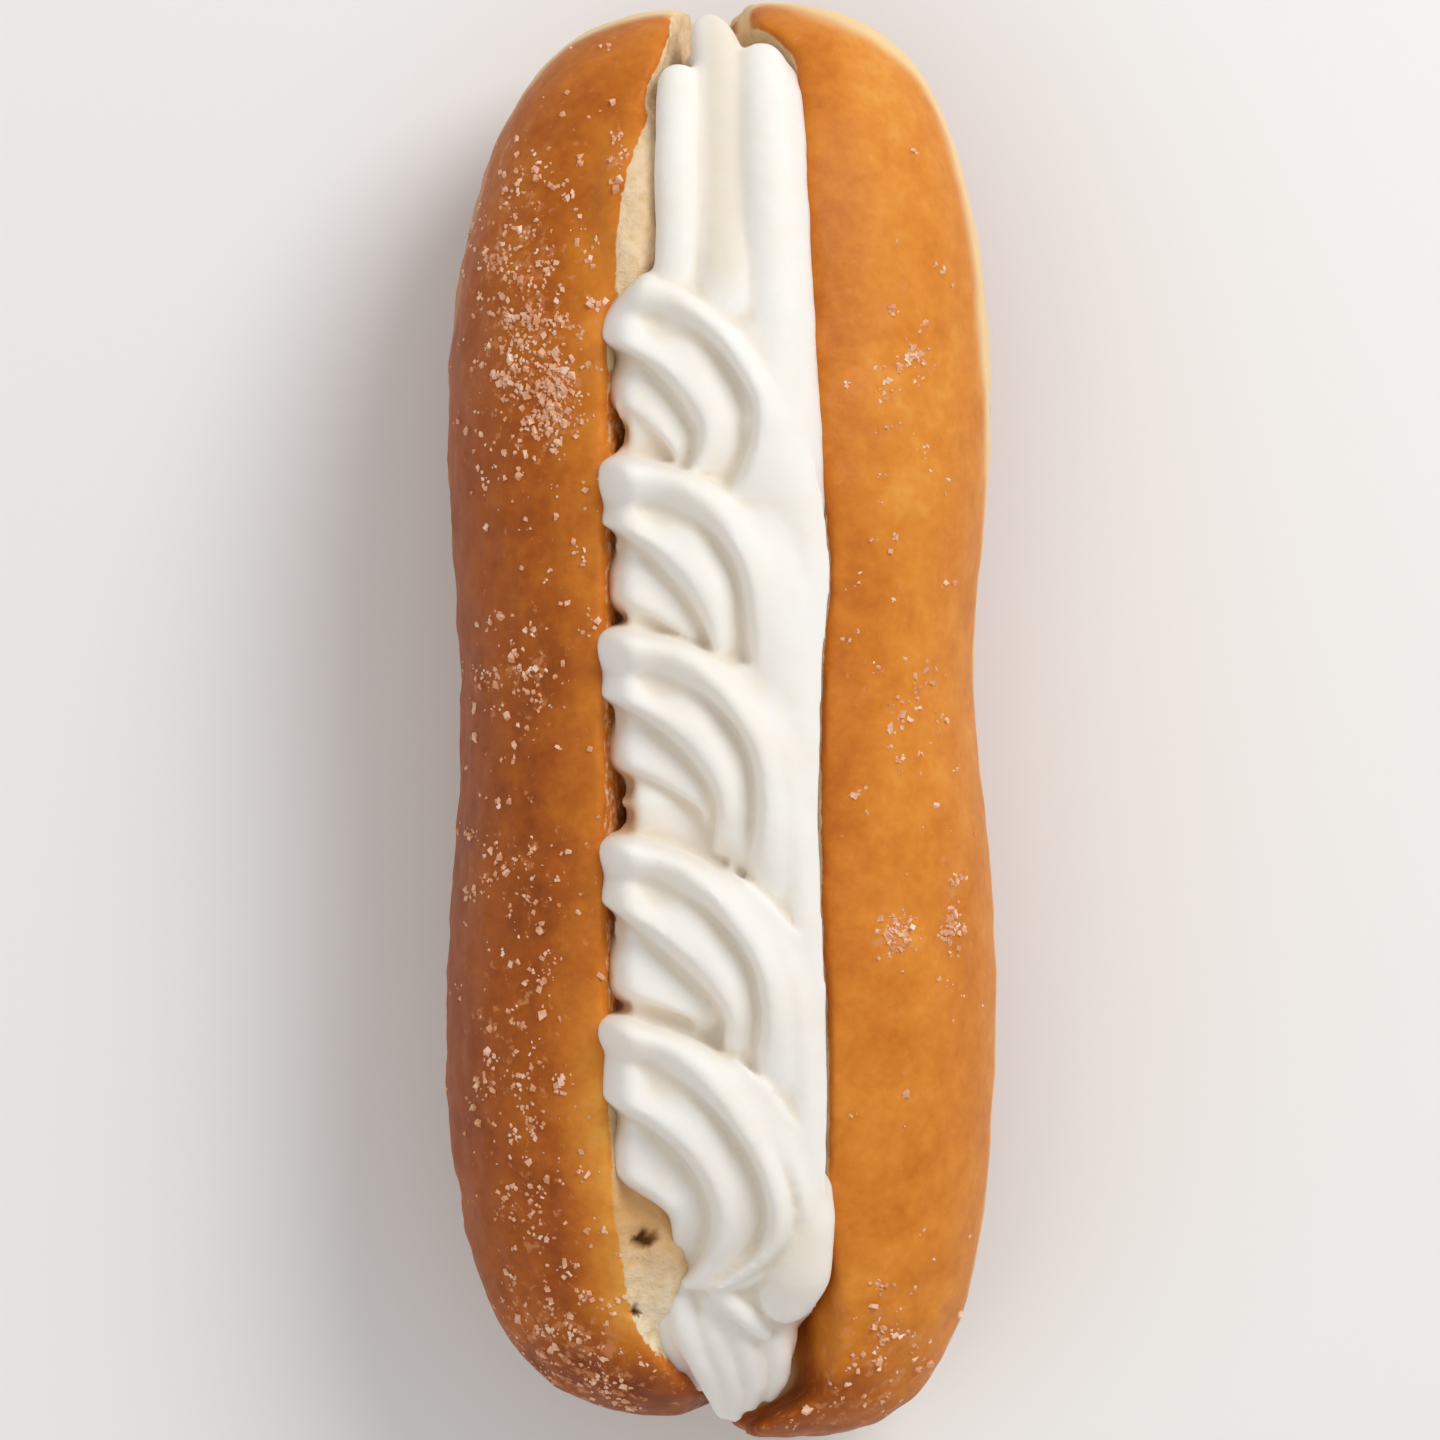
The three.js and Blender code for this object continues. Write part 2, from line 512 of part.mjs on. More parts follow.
// The filling under the piping: a wedge that fills the cut up to just under its edges.
function fillingSolid() {
  const block = new THREE.BoxGeometry(2, 2, 2, 1, FILLING_STEPS, 2);
  return solidOf(reshaped(block, (a, b, c) => {
    const along = (1 + Math.sign(b) * (1 - (1 - Math.abs(b)) ** FILLING_CROWDING)) / 2;
    const y = mix(FILLING_BOTTOM_Y, FILLING_TOP_Y, along);
    const slope = FILLING_SLOPE.drop * smoothStep(FILLING_SLOPE.from, FILLING_SLOPE.to, -y);
    const top = WIDEST_Z + FILLING_SHARE * (CROWN_RISE - crownFall(y)) - slope;
    const z = mix(HINGE_Z + FILLING_GAP, top, (c + 1) / 2);
    return { x: cutMiddle(y) + a * (cutHalfWidth(y, z) - FILLING_GAP), y, z };
  }));
}

function creamSolid() {
  const dough = loafSolid(GAP).subtract(cutSolid(-GAP));
  const pieces = [fillingSolid(), ...Object.values(ROPES).map(rope), ...SWIRLS.map(swirl), tail()];
  return settled(joined(pieces).subtract(dough));
}

// Sugar clumps lie on the crust in patches, each at its own size and turn, clear of the cream.
function sugarClumps() {
  const next = seededStream(SUGAR_SEED);
  const scatter = () => SUGAR_SCATTER * (next() + next() + next() - 1.5);
  const clumps = [];
  SUGAR_PATCHES.forEach((patch) => {
    for (let i = 0; i < patch.count; i += 1) {
      const x = patch.x + patch.spreadX * scatter();
      const y = patch.y + patch.spreadY * scatter();
      const radius = CLUMP_RADIUS * mix(...CLUMP_GROWTH, next());
      const clump = new THREE.OctahedronGeometry(radius, 0);
      clump.scale(1, mix(...CLUMP_GROWTH, next()), mix(...CLUMP_FLATNESS, next()));
      clump.rotateZ(next() * Math.PI);
      clump.rotateX(next() - 0.5);
      const fromCut = Math.abs(x - cutMiddle(y)) - cutHalfWidth(y, CUT_EDGE_Z);
      if (fromCut > SUGAR_EDGE_CLEARANCE && crustHeight(x, y) > SUGAR_LOWEST_Z) {
        clump.translate(x, y, crustHeight(x, y) + CLUMP_RAISED * radius);
        clumps.push(solidOf(clump));
      }
    }
  });
  return clumps;
}

function doughSolid() {
  const halves = loafSolid(0).subtract(cutSolid(0));
  return settled(joined([halves, ...sugarClumps()]));
}

const crust = new THREE.MeshStandardMaterial({ color: 0xc9782f, roughness: 0.5, metalness: 0 });
const whipped = new THREE.MeshStandardMaterial({ color: 0xf5f0e6, roughness: 0.45, metalness: 0 });

const dough = new THREE.Mesh(geometryOf(doughSolid()), crust);
dough.name = "dough";

const cream = new THREE.Mesh(geometryOf(creamSolid()), whipped);
cream.name = "cream";

const doughnut = new THREE.Group();
doughnut.add(dough, cream);

// The whole is set over the origin.
const box = new THREE.Box3().setFromObject(doughnut);
const centre = box.getCenter(new THREE.Vector3());
doughnut.position.set(-centre.x, -centre.y, 0);

export default doughnut;
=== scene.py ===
import math

import bpy
import numpy as np
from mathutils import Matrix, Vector, noise
from mathutils.bvhtree import BVHTree


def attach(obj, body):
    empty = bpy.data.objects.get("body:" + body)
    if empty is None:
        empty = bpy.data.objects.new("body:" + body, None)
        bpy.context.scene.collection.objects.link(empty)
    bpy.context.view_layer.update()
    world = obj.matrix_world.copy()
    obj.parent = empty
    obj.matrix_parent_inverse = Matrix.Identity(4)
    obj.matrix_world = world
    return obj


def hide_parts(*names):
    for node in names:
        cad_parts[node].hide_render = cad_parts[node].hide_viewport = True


# A fried finger doughnut, split along its top, piped full of vanilla cream and rolled in sugar.
# Shapes are worked out in millimetres and become metres at last: X is across it, Y along it and Z up.
# A table of waves holds a place, how much is added there and over which span that fades. A table of steps
# holds where a change begins, where it is complete and how much it adds. Most pairs are where something
# begins and where it is complete.

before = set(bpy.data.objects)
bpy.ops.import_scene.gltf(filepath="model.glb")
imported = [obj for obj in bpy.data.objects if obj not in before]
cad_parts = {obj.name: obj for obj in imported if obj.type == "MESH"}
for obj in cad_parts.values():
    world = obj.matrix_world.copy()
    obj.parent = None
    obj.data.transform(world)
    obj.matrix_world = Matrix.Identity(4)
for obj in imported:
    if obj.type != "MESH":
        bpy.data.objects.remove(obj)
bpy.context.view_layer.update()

# Sizes of the baked dough
LEFT_HALF = dict(reach=32.7, pinch=3.0, pinch_y=-0.5, pinch_span=29.0, top=81.7, bottom=-79.8,
                 top_power=3.05, bottom_power=3.6)
RIGHT_HALF = dict(reach=32.0, pinch=2.8, pinch_y=5.8, pinch_span=21.0, top=82.4, bottom=-82.4,
                  top_power=3.55, bottom_power=4.2)
WIDEST_Z = 20.0
CROWN_RISE = 27.0
BELLY_DROP = 21.0
SECTION_POWER = 2.3  # 2 is an ellipse, more is squarer
END_POWER = 2.8
TIP_CROWDING = 1.9  # how closely the rings of the mesh lie at the tips
SEAM_SHARPNESS = 8.0  # how quickly the outline of one half becomes that of the other
SEAM_FADE = 3.0
LUMP_HEIGHT = 0.45
LUMP_START = 0.6
LUMP_ALONG = 0.17  # radians a millimetre, as the next two
LUMP_ACROSS = 0.09
LUMP_SLANT = 0.03
CENTRING_X = -0.135  # the whole is centred over the origin by its box
FLAT_SPOT_Z = 0.5  # below this the crust is flat, because the doughnut lies on it

# Sizes of the cut, a V from a hinge of uncut dough
HINGE_Z = 11.0
HINGE_HALF = 1.3
CUT_EDGE_Z = 46.0
CUT_TOP_Z = 60.0
CUT_HALF = 12.4
CUT_MIDDLE_X = -0.85
CUT_WANDER = 0.7
CUT_PAST_END = 4.0
# Waves along the length by which the middle of the cut, its left edge and its right edge move in X
CUT_END_SHIFTS = ((80.0, 0.9, 12.0), (-70.0, 2.0, 14.0))
CUT_LEFT_WAVES = ((82.0, 2.6, 4.0), (76.0, 2.6, 13.0), (-66.0, -1.0, 5.0), (-76.5, 4.6, 3.8))
CUT_RIGHT_WAVES = ((80.0, -6.8, 2.9), (40.0, 0.4, 14.0), (18.0, 1.8, 11.0), (-19.0, -1.0, 16.0),
                   (-72.0, 2.2, 11.0), (-81.5, -6.5, 3.0))

# Torn crumb that bulges from the left wall of the cut: places along each as X, Y, Z and radius
CRUMB_BULGES = (
    ((-8.8, 72.0, 31.0, 2.2), (-9.6, 66.5, 35.4, 3.8), (-10.0, 60.0, 37.8, 4.6), (-10.4, 53.0, 39.6, 4.4),
     (-11.2, 46.0, 40.0, 3.2)),
    ((-11.2, -47.0, 37.0, 2.6), (-9.6, -53.0, 36.4, 4.2), (-7.6, -58.5, 35.4, 4.8), (-7.2, -64.0, 33.4, 4.6),
     (-8.4, -69.5, 30.2, 3.4), (-7.6, -75.0, 26.0, 2.4)),
)
# Two small pits in it, dented and painted dark as shade: X, Y and radius
CRUMB_PITS = ((-8.5, -58.5, 1.1), (-9.6, -66.4, 0.5))
PIT_DEPTH = 2.2
PIT_RIM = (1.3, 0.6)  # in radii
PIT_ABOVE_Z = 25.0

# The piped swirls. Each has a centre at the left edge of the cut and ridges that turn round it. A ridge's
# inner edge has a reach to the right, a rise towards the upper end and a power: 1 is a straight slant, 2 an
# ellipse. A swirl turns from over the left edge to its end angle, over the share of its path called arc, and
# drops below its centre. Then it runs on, its inner and its outer edge as far as run says, and sinks as deep
# as sink says. curl is how far the ends of the ridges bend back, line how deep the line on the flank is, and
# inset how far the head of the outer ridge stays off the left edge.
SWIRL_CENTRE_X = -13.4
SWIRL_REACH = 26.3  # from a centre to the right edge of the cut
PLAIN_SWIRL = dict(arc=0.66, end=0.0, drop=0.0, line=0.5, sink=(6.0, 2.0), inset=0.0)
CORE_EDGE = (5.0, 0.4, 1.2)
SWIRLS = (
    dict(PLAIN_SWIRL, y=28.2, third=(8.6, 6.7, 1.4), second=(11.5, 13.6, 1.65), first=(17.9, 17.5, 2.3),
         outer=(SWIRL_REACH, 23.0, 2.1), run=(3.0, 27.0), curl=8.5, line=0.0, sink=(7.0, 2.0), inset=4.6),
    dict(PLAIN_SWIRL, y=8.4, third=(10.0, 3.8, 1.3), second=(12.2, 12.9, 1.4), first=(16.2, 15.6, 2.8),
         outer=(SWIRL_REACH, 22.2, 2.1), run=(3.0, 27.0), curl=0.5, line=0.0),
    dict(PLAIN_SWIRL, y=-10.3, third=(11.5, 4.6, 1.2), second=(13.2, 12.2, 1.5), first=(17.6, 15.5, 2.4),
         outer=(SWIRL_REACH, 21.5, 2.1), run=(4.0, 27.0), curl=1.5),
    dict(PLAIN_SWIRL, y=-33.6, third=(10.0, 2.1, 1.0), second=(14.2, 12.6, 1.15), first=(18.2, 16.2, 2.05),
         outer=(SWIRL_REACH, 21.5, 2.0), run=(4.0, 27.0), curl=1.5),
    dict(PLAIN_SWIRL, y=-55.9, third=(7.6, 4.0, 1.2), second=(12.2, 12.2, 1.65), first=(18.7, 18.6, 1.75),
         outer=(SWIRL_REACH, 23.6, 1.9), arc=1.0, end=-52.0, drop=10.5, run=(0.0, 0.0), curl=0.0, line=1.9,
         sink=(6.0, 3.5)),
)
START_ANGLE = 91.0
TURN_EASING = np.linspace(-0.10, 0.10, 7)  # shares of the path over which the turn is evened out
INNER_TURN = 0.8  # the inner edges end at this share of the end angle
INNER_TURN_DEPTHS = (0.2, 0.5)
RUN_POWER = 4
NEARLY_NONE = 1e-6  # where a swirl turns all the way, this much of its path is straight
CURL_POWER = 1.2
CURL_ENDS = (0.65, 0.95)  # across the swirl
CURL_DEPTH = 0.5
CURL_SPAN = 0.35
FITTED_DEPTHS = (0.60, 1.0)  # between these a swirl is stretched to reach the right edge of the cut
FITTED_GAP = 0.2

# Across a swirl, as shares of its depth: the core, the inner edges of the three ridges and the outer edge
DEPTHS = (0.0, 0.10, 0.35, 0.58, 1.0)
CORE_Z = 36.0
OUTER_Z = 47.0
THIRD = dict(foot=0.10, crest=0.165, foot_z=41.0, crest_z=46.0)
SECOND = dict(foot=0.35, crest=0.41, foot_z=44.9, crest_z=49.1)
FIRST = dict(foot=0.58, crest=0.65, foot_z=47.0, crest_z=51.0)
HEAD_CREST = 0.82  # where the first ridge's crest lies at its start, before it narrows
HEAD_NARROWS = (0.12, 0.42)  # shares of the path
SADDLE_Z = 48.4
GROOVE_START = (0.19, 0.42)  # over these shares of the path the saddle becomes a groove
GROOVE_END = (0.70, 0.95)  # and over these the groove runs out
GROOVE_END_Z = 49.0
BOW = 1.7

# To the right of the ridges all swirls share one flank, which falls towards the edge of the cut
FLANK_X = 5.0
FLANK_Z = 50.1
FLANK_WIDTH = 8.0
FLANK_DROP = 3.3
FLANK_POWER = 1.7
FLANK_REACH = 1.2  # in widths
FLANK_BEGINS_X = (-1.0, 4.0)
FLANK_DEPTHS = (0.76, 1.0)
FLANK_LEAVES = (0.56, 0.80)  # shares of its path over which the last swirl leaves the flank
RIM_DEPTHS = (0.86, 1.0)
RIM_DROP = 0.8
LINE_DEPTH = 0.79  # where a faint line runs down the flank; in the last swirl it is a groove
LINE_SPAN = 0.045
LINE_BEGINS = (0.40, 0.62)  # shares of the path

# How far each depth starts to the right of the swirl's centre: the tips of the ridges reach over the edge
START_DEPTHS = (0.0, 0.08, 0.12, 0.24, 0.305, 0.35, 0.41, 0.50, 1.0)
START_OFFSETS = (2.4, 1.0, -0.6, -0.5, 0.8, 0.5, -1.0, -0.5, -0.1)
START_FADE = 6.5  # millimetres over which these offsets fade out
INSET_DEPTHS = (0.50, 1.0)
# The heads of the ridges are rounded off at the left edge: how much lower they are, and over how far
HEAD_DEPTHS = (0.38, 0.52)  # the third ridge's head lies before these, the first one's beyond them
HEAD_WAVES = ((3.2, 0.4, 1.6), (5.9, -1.0, 3.2))
HEAD_DROP = 6.2
HEAD_SPAN = 4.2
INNER_DROP = 1.2
INNER_SPAN = 4.0
INSET_DROP = 0.6  # times the inset
INSET_SPAN = 6.0
INSET_DROP_DEPTHS = (0.50, 0.75)
ROUND_DROP = 8.0  # the outer edge of a head, while it has no flank beside it
ROUND_DEPTH = 0.87
ROUND_SPAN = 0.13
ROUND_ENDS = (0.30, 0.60)  # shares of the path
SINK_DEPTHS = (0.1, 1.0)
SINK_POWER = 1.5
CREAM_FALL = 0.85  # how much of the crown's fall towards the ends the swirls follow
SWIRL_FLOOR_Z = 31.0
SWIRL_FLOOR_SLOPE = 0.02
SWIRL_FLOOR_WIDTH = 0.55
SWIRL_LEAST = 0.5

# The other ropes of cream: places along each as X, Y and the height of its middle, with its radius there
ROPES = dict(
    upper_left=((-4.6, 73.4, 35.0, 2.4), (-4.7, 69.5, 39.2, 2.5), (-4.8, 60.0, 42.2, 2.6),
                (-4.7, 50.0, 43.8, 2.7), (-4.4, 42.0, 44.4, 2.9)),
    upper_right=((4.4, 75.8, 32.4, 2.8), (5.2, 70.0, 38.4, 3.2), (5.6, 58.0, 42.2, 3.5),
                 (5.8, 46.0, 44.2, 3.7), (5.8, 30.0, 45.4, 3.7)),
    upper_flank=((6.2, 73.8, 31.8, 2.4), (6.8, 70.0, 36.6, 2.9), (6.7, 58.0, 40.8, 3.5),
                 (6.6, 46.0, 43.0, 3.9), (7.4, 32.0, 43.6, 4.2), (8.1, 20.0, 43.4, 3.9)),
    nose=((-1.9, 80.0, 28.8, 1.9), (-0.6, 76.5, 31.6, 2.9), (0.4, 70.0, 36.2, 3.8), (0.6, 56.0, 40.6, 4.2),
          (0.8, 49.0, 43.0, 4.4), (0.8, 42.0, 44.4, 4.4)),
    lower_lobe=((10.2, -50.0, 40.6, 2.4), (9.8, -56.0, 41.8, 3.2), (8.9, -62.0, 40.0, 3.8),
                (7.2, -65.4, 37.4, 3.4), (5.6, -66.8, 36.2, 2.8)),
    apron_left=((-3.0, -60.0, 34.2, 3.2), (-4.0, -66.0, 32.2, 3.2), (-3.2, -71.5, 29.6, 2.8),
                (-1.2, -76.0, 26.0, 2.2)),
    apron_middle=((-0.5, -58.0, 35.4, 3.6), (0.8, -64.0, 34.8, 4.2), (1.8, -69.0, 32.0, 3.8),
                  (1.2, -76.0, 27.0, 2.8)),
    apron_right=((3.6, -61.0, 36.4, 3.2), (4.6, -66.0, 33.8, 3.6), (5.8, -70.0, 30.8, 3.2),
                 (4.8, -75.0, 27.0, 2.4)),
    fold=((-0.8, -63.4, 38.8, 1.1), (0.6, -65.2, 38.9, 1.1), (3.0, -67.4, 38.0, 1.1),
          (5.8, -69.8, 35.6, 0.9)),
    rib_1=((-6.2, -62.5, 34.6, 1.4), (-6.4, -67.5, 34.0, 1.6), (-5.5, -71.4, 32.0, 1.5),
           (-4.8, -74.0, 29.6, 1.1)),
    rib_2=((-4.4, -63.5, 35.8, 1.5), (-4.0, -68.5, 35.4, 1.7), (-2.1, -72.7, 33.2, 1.6),
           (-0.3, -76.2, 30.0, 1.4), (0.6, -79.6, 26.2, 1.0)),
    rib_3=((-1.6, -66.0, 36.0, 1.5), (-0.6, -70.0, 34.9, 1.6), (0.9, -74.0, 32.2, 1.5),
           (2.0, -77.4, 29.0, 1.2), (1.6, -80.0, 26.0, 0.9)),
    rib_4=((2.0, -68.0, 35.2, 1.5), (3.2, -72.0, 33.6, 1.5), (4.0, -75.6, 30.6, 1.3),
           (3.2, -78.6, 27.4, 1.0)),
    rib_5=((5.6, -66.5, 34.4, 1.7), (6.6, -71.0, 32.8, 1.6), (6.6, -74.6, 30.4, 1.4),
           (5.2, -77.4, 27.6, 1.1)),
)
ROPE_STEPS = 200
ROPE_EVENING = 150
ROPE_CROWDING = 0.5  # how closely the rings of the mesh lie at a rope's ends

# The filling under the ropes, and where it lies low beside a wall: place along Y, half length, depth and the
# shares of the half width between which it falls away
FILLING_SHARE = 0.86
FILLING_TOP_Y = 76.0
FILLING_BOTTOM_Y = -74.0
FILLING_CROWDING = 1.5
FILLING_END_STEPS = ((60.0, 76.0, -3.0),)
FILLING_LIFT = 0.7
FILLING_GAP = 0.4
LOW_PLACES = (
    (61.0, 11.0, 12.0, -0.30, -0.55), (34.0, 3.2, -1.6, -0.10, -0.60), (32.4, 1.6, 4.0, -0.80, -0.96),
    (12.6, 2.6, -1.4, -0.10, -0.60), (11.4, 1.4, 4.0, -0.80, -0.96), (-9.0, 3.2, -1.4, -0.10, -0.60),
    (-7.4, 1.5, 5.0, -0.70, -0.94), (-10.8, 1.5, 5.0, -0.70, -0.94), (-30.5, 2.6, -1.2, -0.10, -0.60),
    (-31.8, 1.2, 4.0, -0.78, -0.96), (-59.0, 7.5, 12.0, -0.10, -0.45), (-73.0, 4.5, 12.0, 0.35, 0.75),
)

# Sugar on the crust: patches with a middle, a spread along X and Y, their clumps and the grains in a clump
SUGAR_PATCHES = (
    (-21.5, 42.0, 4.0, 8.0, 120, 2.5), (-18.8, 36.0, 1.5, 3.2, 26, 9.0), (-22.8, 41.0, 1.8, 2.5, 18, 8.0),
    (-23.5, 57.0, 4.5, 8.0, 120, 1.6), (-22.0, 5.0, 3.0, 4.0, 34, 3.0), (-22.5, -17.0, 4.0, 4.5, 38, 2.5),
    (-24.0, -35.0, 3.0, 6.0, 40, 3.5), (-20.5, -55.0, 4.0, 6.0, 40, 3.0), (-17.5, -69.0, 5.0, 4.5, 60, 3.0),
    (-21.5, 0.0, 6.0, 55.0, 200, 1.0), (-11.8, 63.0, 0.5, 3.6, 16, 3.0), (22.4, 40.2, 0.9, 1.0, 7, 9.0),
    (19.6, -24.4, 1.1, 0.7, 6, 11.0), (25.8, -22.0, 0.8, 3.6, 16, 4.0), (19.8, 1.5, 2.6, 5.0, 30, 2.0),
    (18.8, 36.0, 3.0, 9.0, 16, 4.0), (18.5, -70.0, 4.0, 5.0, 36, 2.5), (21.0, 0.0, 6.0, 50.0, 70, 1.5),
    (-14.0, -75.5, 4.0, 2.2, 12, 4.0), (12.0, -77.0, 4.0, 2.0, 14, 2.0),
)
SUGAR_SEED = 7
CLUMP_SPREAD = 0.25  # times the root of the number of grains
CLUMP_STRETCH = (0.5, 1.5)  # the least and the most
GRAIN_SIZE = 0.35
GRAIN_VARIATION = 0.4
GRAIN_LIMITS = (0.5, 2.2)  # the least and the most, as the next
GRAIN_STRETCH = (0.6, 1.4)
GRAIN_TOP = 0.7
GRAIN_LEAN = 0.25
GRAIN_SUNK = 0.05
GRAIN_GAP = 0.1  # to the edge of the cut
GRAIN_STEEPEST = 0.15  # how far up the crust has to face where a grain stays on
ABOVE_ALL = 0.08  # metres
SUGAR_FULL = 14.0  # where the patches add up to this, the film of fine sugar is thickest
SUGAR_FILM = 0.13
SUGAR_END_STEPS = ((-62.0, -74.0, 0.5),)
SUGAR_ABOVE_Z = 12.0

# Where the torn crumb shows. The crust rolls in over the edge of the cut, and the crumb begins below that.
LEFT_ROLL = 1.9
LEFT_ROLL_WAVES = ((62.0, -1.7, 13.0), (-60.0, -1.7, 10.0))
RIGHT_ROLL = 1.6
ROLL_BLUR = 0.5
CRUMB_OFF_CUT = (1.3, 0.6)
CRUMB_ABOVE_Z = 9.5
END_CRUMB_OFF_CUT = (-0.3, -1.2)
END_CRUMB_Y = (40.0, 44.0)
CRUMB_STEPS = ((-67.0, -75.0, -0.7),)
LEFT_CRUMB_STEPS = ((42.0, 38.0, -0.58),)  # from the middle: between the swirls the wall is brown
RIGHT_CRUMB_STEPS = ((-54.0, -60.0, -0.75),)

# The pale ring: high on the right half and low on the left one, it rises from one to the other at the ends
RING_CROSSES_X = (-13.0, 13.0)
RIGHT_RING_RISE = 3.5
RIGHT_RING_STEPS = ((5.0, 42.0, 5.4),)
RIGHT_RING_END_STEPS = ((72.0, 80.0, 4.0),)
LEFT_RING_Z = 18.5
LEFT_RING_SLOPE = 0.125
LEFT_RING_STEPS = ((50.0, 74.0, -3.6), (75.0, 80.0, 2.0))
LEFT_RING_SHARE = 0.25
LEFT_RING_SHARE_STEPS = ((66.0, 78.0, 0.75),)
RING_UPPER_EDGE = (2.2, -1.6)  # above the ring's top, as the next and UNDERSIDE_FROM
RING_LOWER_EDGE = (-10.0, -6.0)

# How brown the crust is, from 0 for dark to 1 for golden: near the cut, far from it and at the ends. It is
# partly the crust's own browning and partly painted light and shade for light from the upper right: the left
# half is darker and darkest at its far edge but lighter near its cut, the right half is lighter away from
# its cut, and the lower end is darker.
LEFT_NEAR = 0.62
LEFT_NEAR_STEPS = ((-20.0, -50.0, 0.30), (50.0, 64.0, -0.08))
LEFT_FAR = 0.41
LEFT_FAR_OFF_CUT = (1.0, 9.0)
LEFT_STEPS = ((10.0, 45.0, 0.10),)
LEFT_SIDE_STEPS = ((-24.0, -31.0, -0.08),)
RIGHT_NEAR = 0.62
RIGHT_NEAR_STEPS = ((-10.0, -40.0, 0.12),)
RIGHT_FAR = 0.77
RIGHT_FAR_STEPS = ((10.0, 40.0, 0.04), (5.0, -20.0, -0.03))
RIGHT_FAR_OFF_CUT = (2.0, 10.0)
LEFT_TIP = 0.28
LEFT_TIP_Y = (-66.0, -79.0)
RIGHT_TIP = 0.44
RIGHT_TIP_Y = (-73.0, -82.0)
RIGHT_LIP = 0.41
RIGHT_LIP_X = (21.0, 12.0)
RIGHT_LIP_Y = (-71.5, -76.0)
UNDERSIDE = 0.42
UNDERSIDE_FROM = (-8.0, -11.0)

# The veil of fine sugar over the brown, the same pinkish brown painted as shade on the cut face at the lower
# right, and the crumb's toasted places
LEFT_VEIL_STEPS = ((-23.0, -31.0, 1.0),)
RIGHT_VEIL_STEPS = ((24.0, 31.0, 0.1),)
VEIL_STEPS = ((-60.0, -78.0, -0.6),)
CUT_SHADE_STEPS = ((-64.0, -68.0, 0.9),)
CUT_SHADE_OFF_CUT = (0.5, -1.0)
TOASTED_WAVES = ((-55.0, 0.8, 8.0),)
TOASTED_STEPS = ((40.0, 50.0, 0.3),)

# Fine relief: the height, the size and the seed of each noise in it
WRINKLES = ((0.16, 5.0, 1.0), (0.10, 2.4, 2.0))
TEARS = ((0.35, 3.0, 5.0), (0.25, 1.5, 6.0))
UNEVEN_CREAM = ((0.22, 8.0, 9.0), (0.07, 2.2, 11.0))
RING_NOISE = ((1.4, 9.0, 3.0),)
PIT_NOISE = ((0.9, 1.3, 8.0),)
NOISE_SHIFT = (1.0, 2.3, -1.7)  # times the seed
# From here the crust is twice as wrinkled
WRINKLED_X = (-20.0, -30.0)
WRINKLED_Y = (-58.0, -72.0)

# Where crumb is mixed into the cream, with painted shade and painted warm bounce light from the crust where
# it lies low by the left wall, and where painted shade darkens the cream's hollows
STAIN_AND_SHADE_STEPS = ((1.0, 4.5, 0.7),)
STAIN_AND_SHADE_OFF_MIDDLE = (-3.0, -8.0)
STAIN_AND_SHADE_SPAN = 62.0
# Painted shade in the cream: the valley between the upper ropes, the hollows, less at the tail, and the
# lower lobe
VALLEY_X = 0.5
VALLEY_HALF = (3.0, 1.2)
VALLEY_Y = (46.0, 52.0)
HOLLOW_SHADE_STEPS = ((0.02, 0.30, 0.8),)
TAIL_SHADE_STEPS = ((-64.0, -70.0, -0.8),)
LOBE_SHADE_WAVES_X = ((9.5, 0.8, 3.5),)
LOBE_SHADE_WAVES_Y = ((-60.0, 1.0, 6.0),)

# How fine the meshes are
VOXEL_DOUGH = 0.70
VOXEL_CREAM = 0.42
CREAM_TRIANGLES = 190000
HIDDEN_BELOW_Z = 34.0
HIDDEN_SPAN = 70.0
UPPER_ROPES_Y = (40.0, 48.0)


def mix(a, b, share):
    return a + (b - a) * share


def bell(distance, span):
    return np.exp(-((distance / span) ** 2))


def fading(distance, span):
    return np.maximum(0, 1 - distance / span) ** 2


def signed_power(value, power):
    return np.sign(value) * np.abs(value) ** power


def smooth_step(low, high, value):
    share = np.clip((value - low) / (high - low), 0, 1)
    return share * share * (3 - 2 * share)


def waves(value, table):
    return sum(by * bell(value - at, span) for at, by, span in table)


def steps(value, table):
    return sum(by * smooth_step(low, high, value) for low, high, by in table)


def fullness(along, power):
    """How full a section is at a place along the loaf: 1 in the middle, 0 at both tips."""
    return np.maximum(0, 1 - np.abs(along) ** power) ** (1 / power)


def half_width(half, along, y):
    power = np.where(along > 0, half["top_power"], half["bottom_power"])
    pinched = half["reach"] - half["pinch"] * bell(y - half["pinch_y"], half["pinch_span"])
    return pinched * fullness(along, power)


def crown_fall(y):
    return CROWN_RISE * (1 - fullness(np.clip(y / RIGHT_HALF["top"], -1, 1), END_POWER))


def lump(x, y):
    return LUMP_HEIGHT * np.sin(LUMP_ALONG * y + LUMP_START) * np.cos(LUMP_ACROSS * x + LUMP_SLANT * y)


def cut_wander(y):
    return CUT_WANDER * np.sin(math.pi * y / RIGHT_HALF["top"])


def cut_middle(y):
    spread = (waves(y, CUT_LEFT_WAVES) + waves(y, CUT_RIGHT_WAVES)) / 2
    return CUT_MIDDLE_X - cut_wander(y) + waves(y, CUT_END_SHIFTS) + spread


def cut_half_width(y, z):
    spread = (waves(y, CUT_RIGHT_WAVES) - waves(y, CUT_LEFT_WAVES)) / 2
    opening = (CUT_HALF - cut_wander(y) + spread) / (CUT_EDGE_Z - HINGE_Z)
    return np.hypot(opening * (z - HINGE_Z), HINGE_HALF)


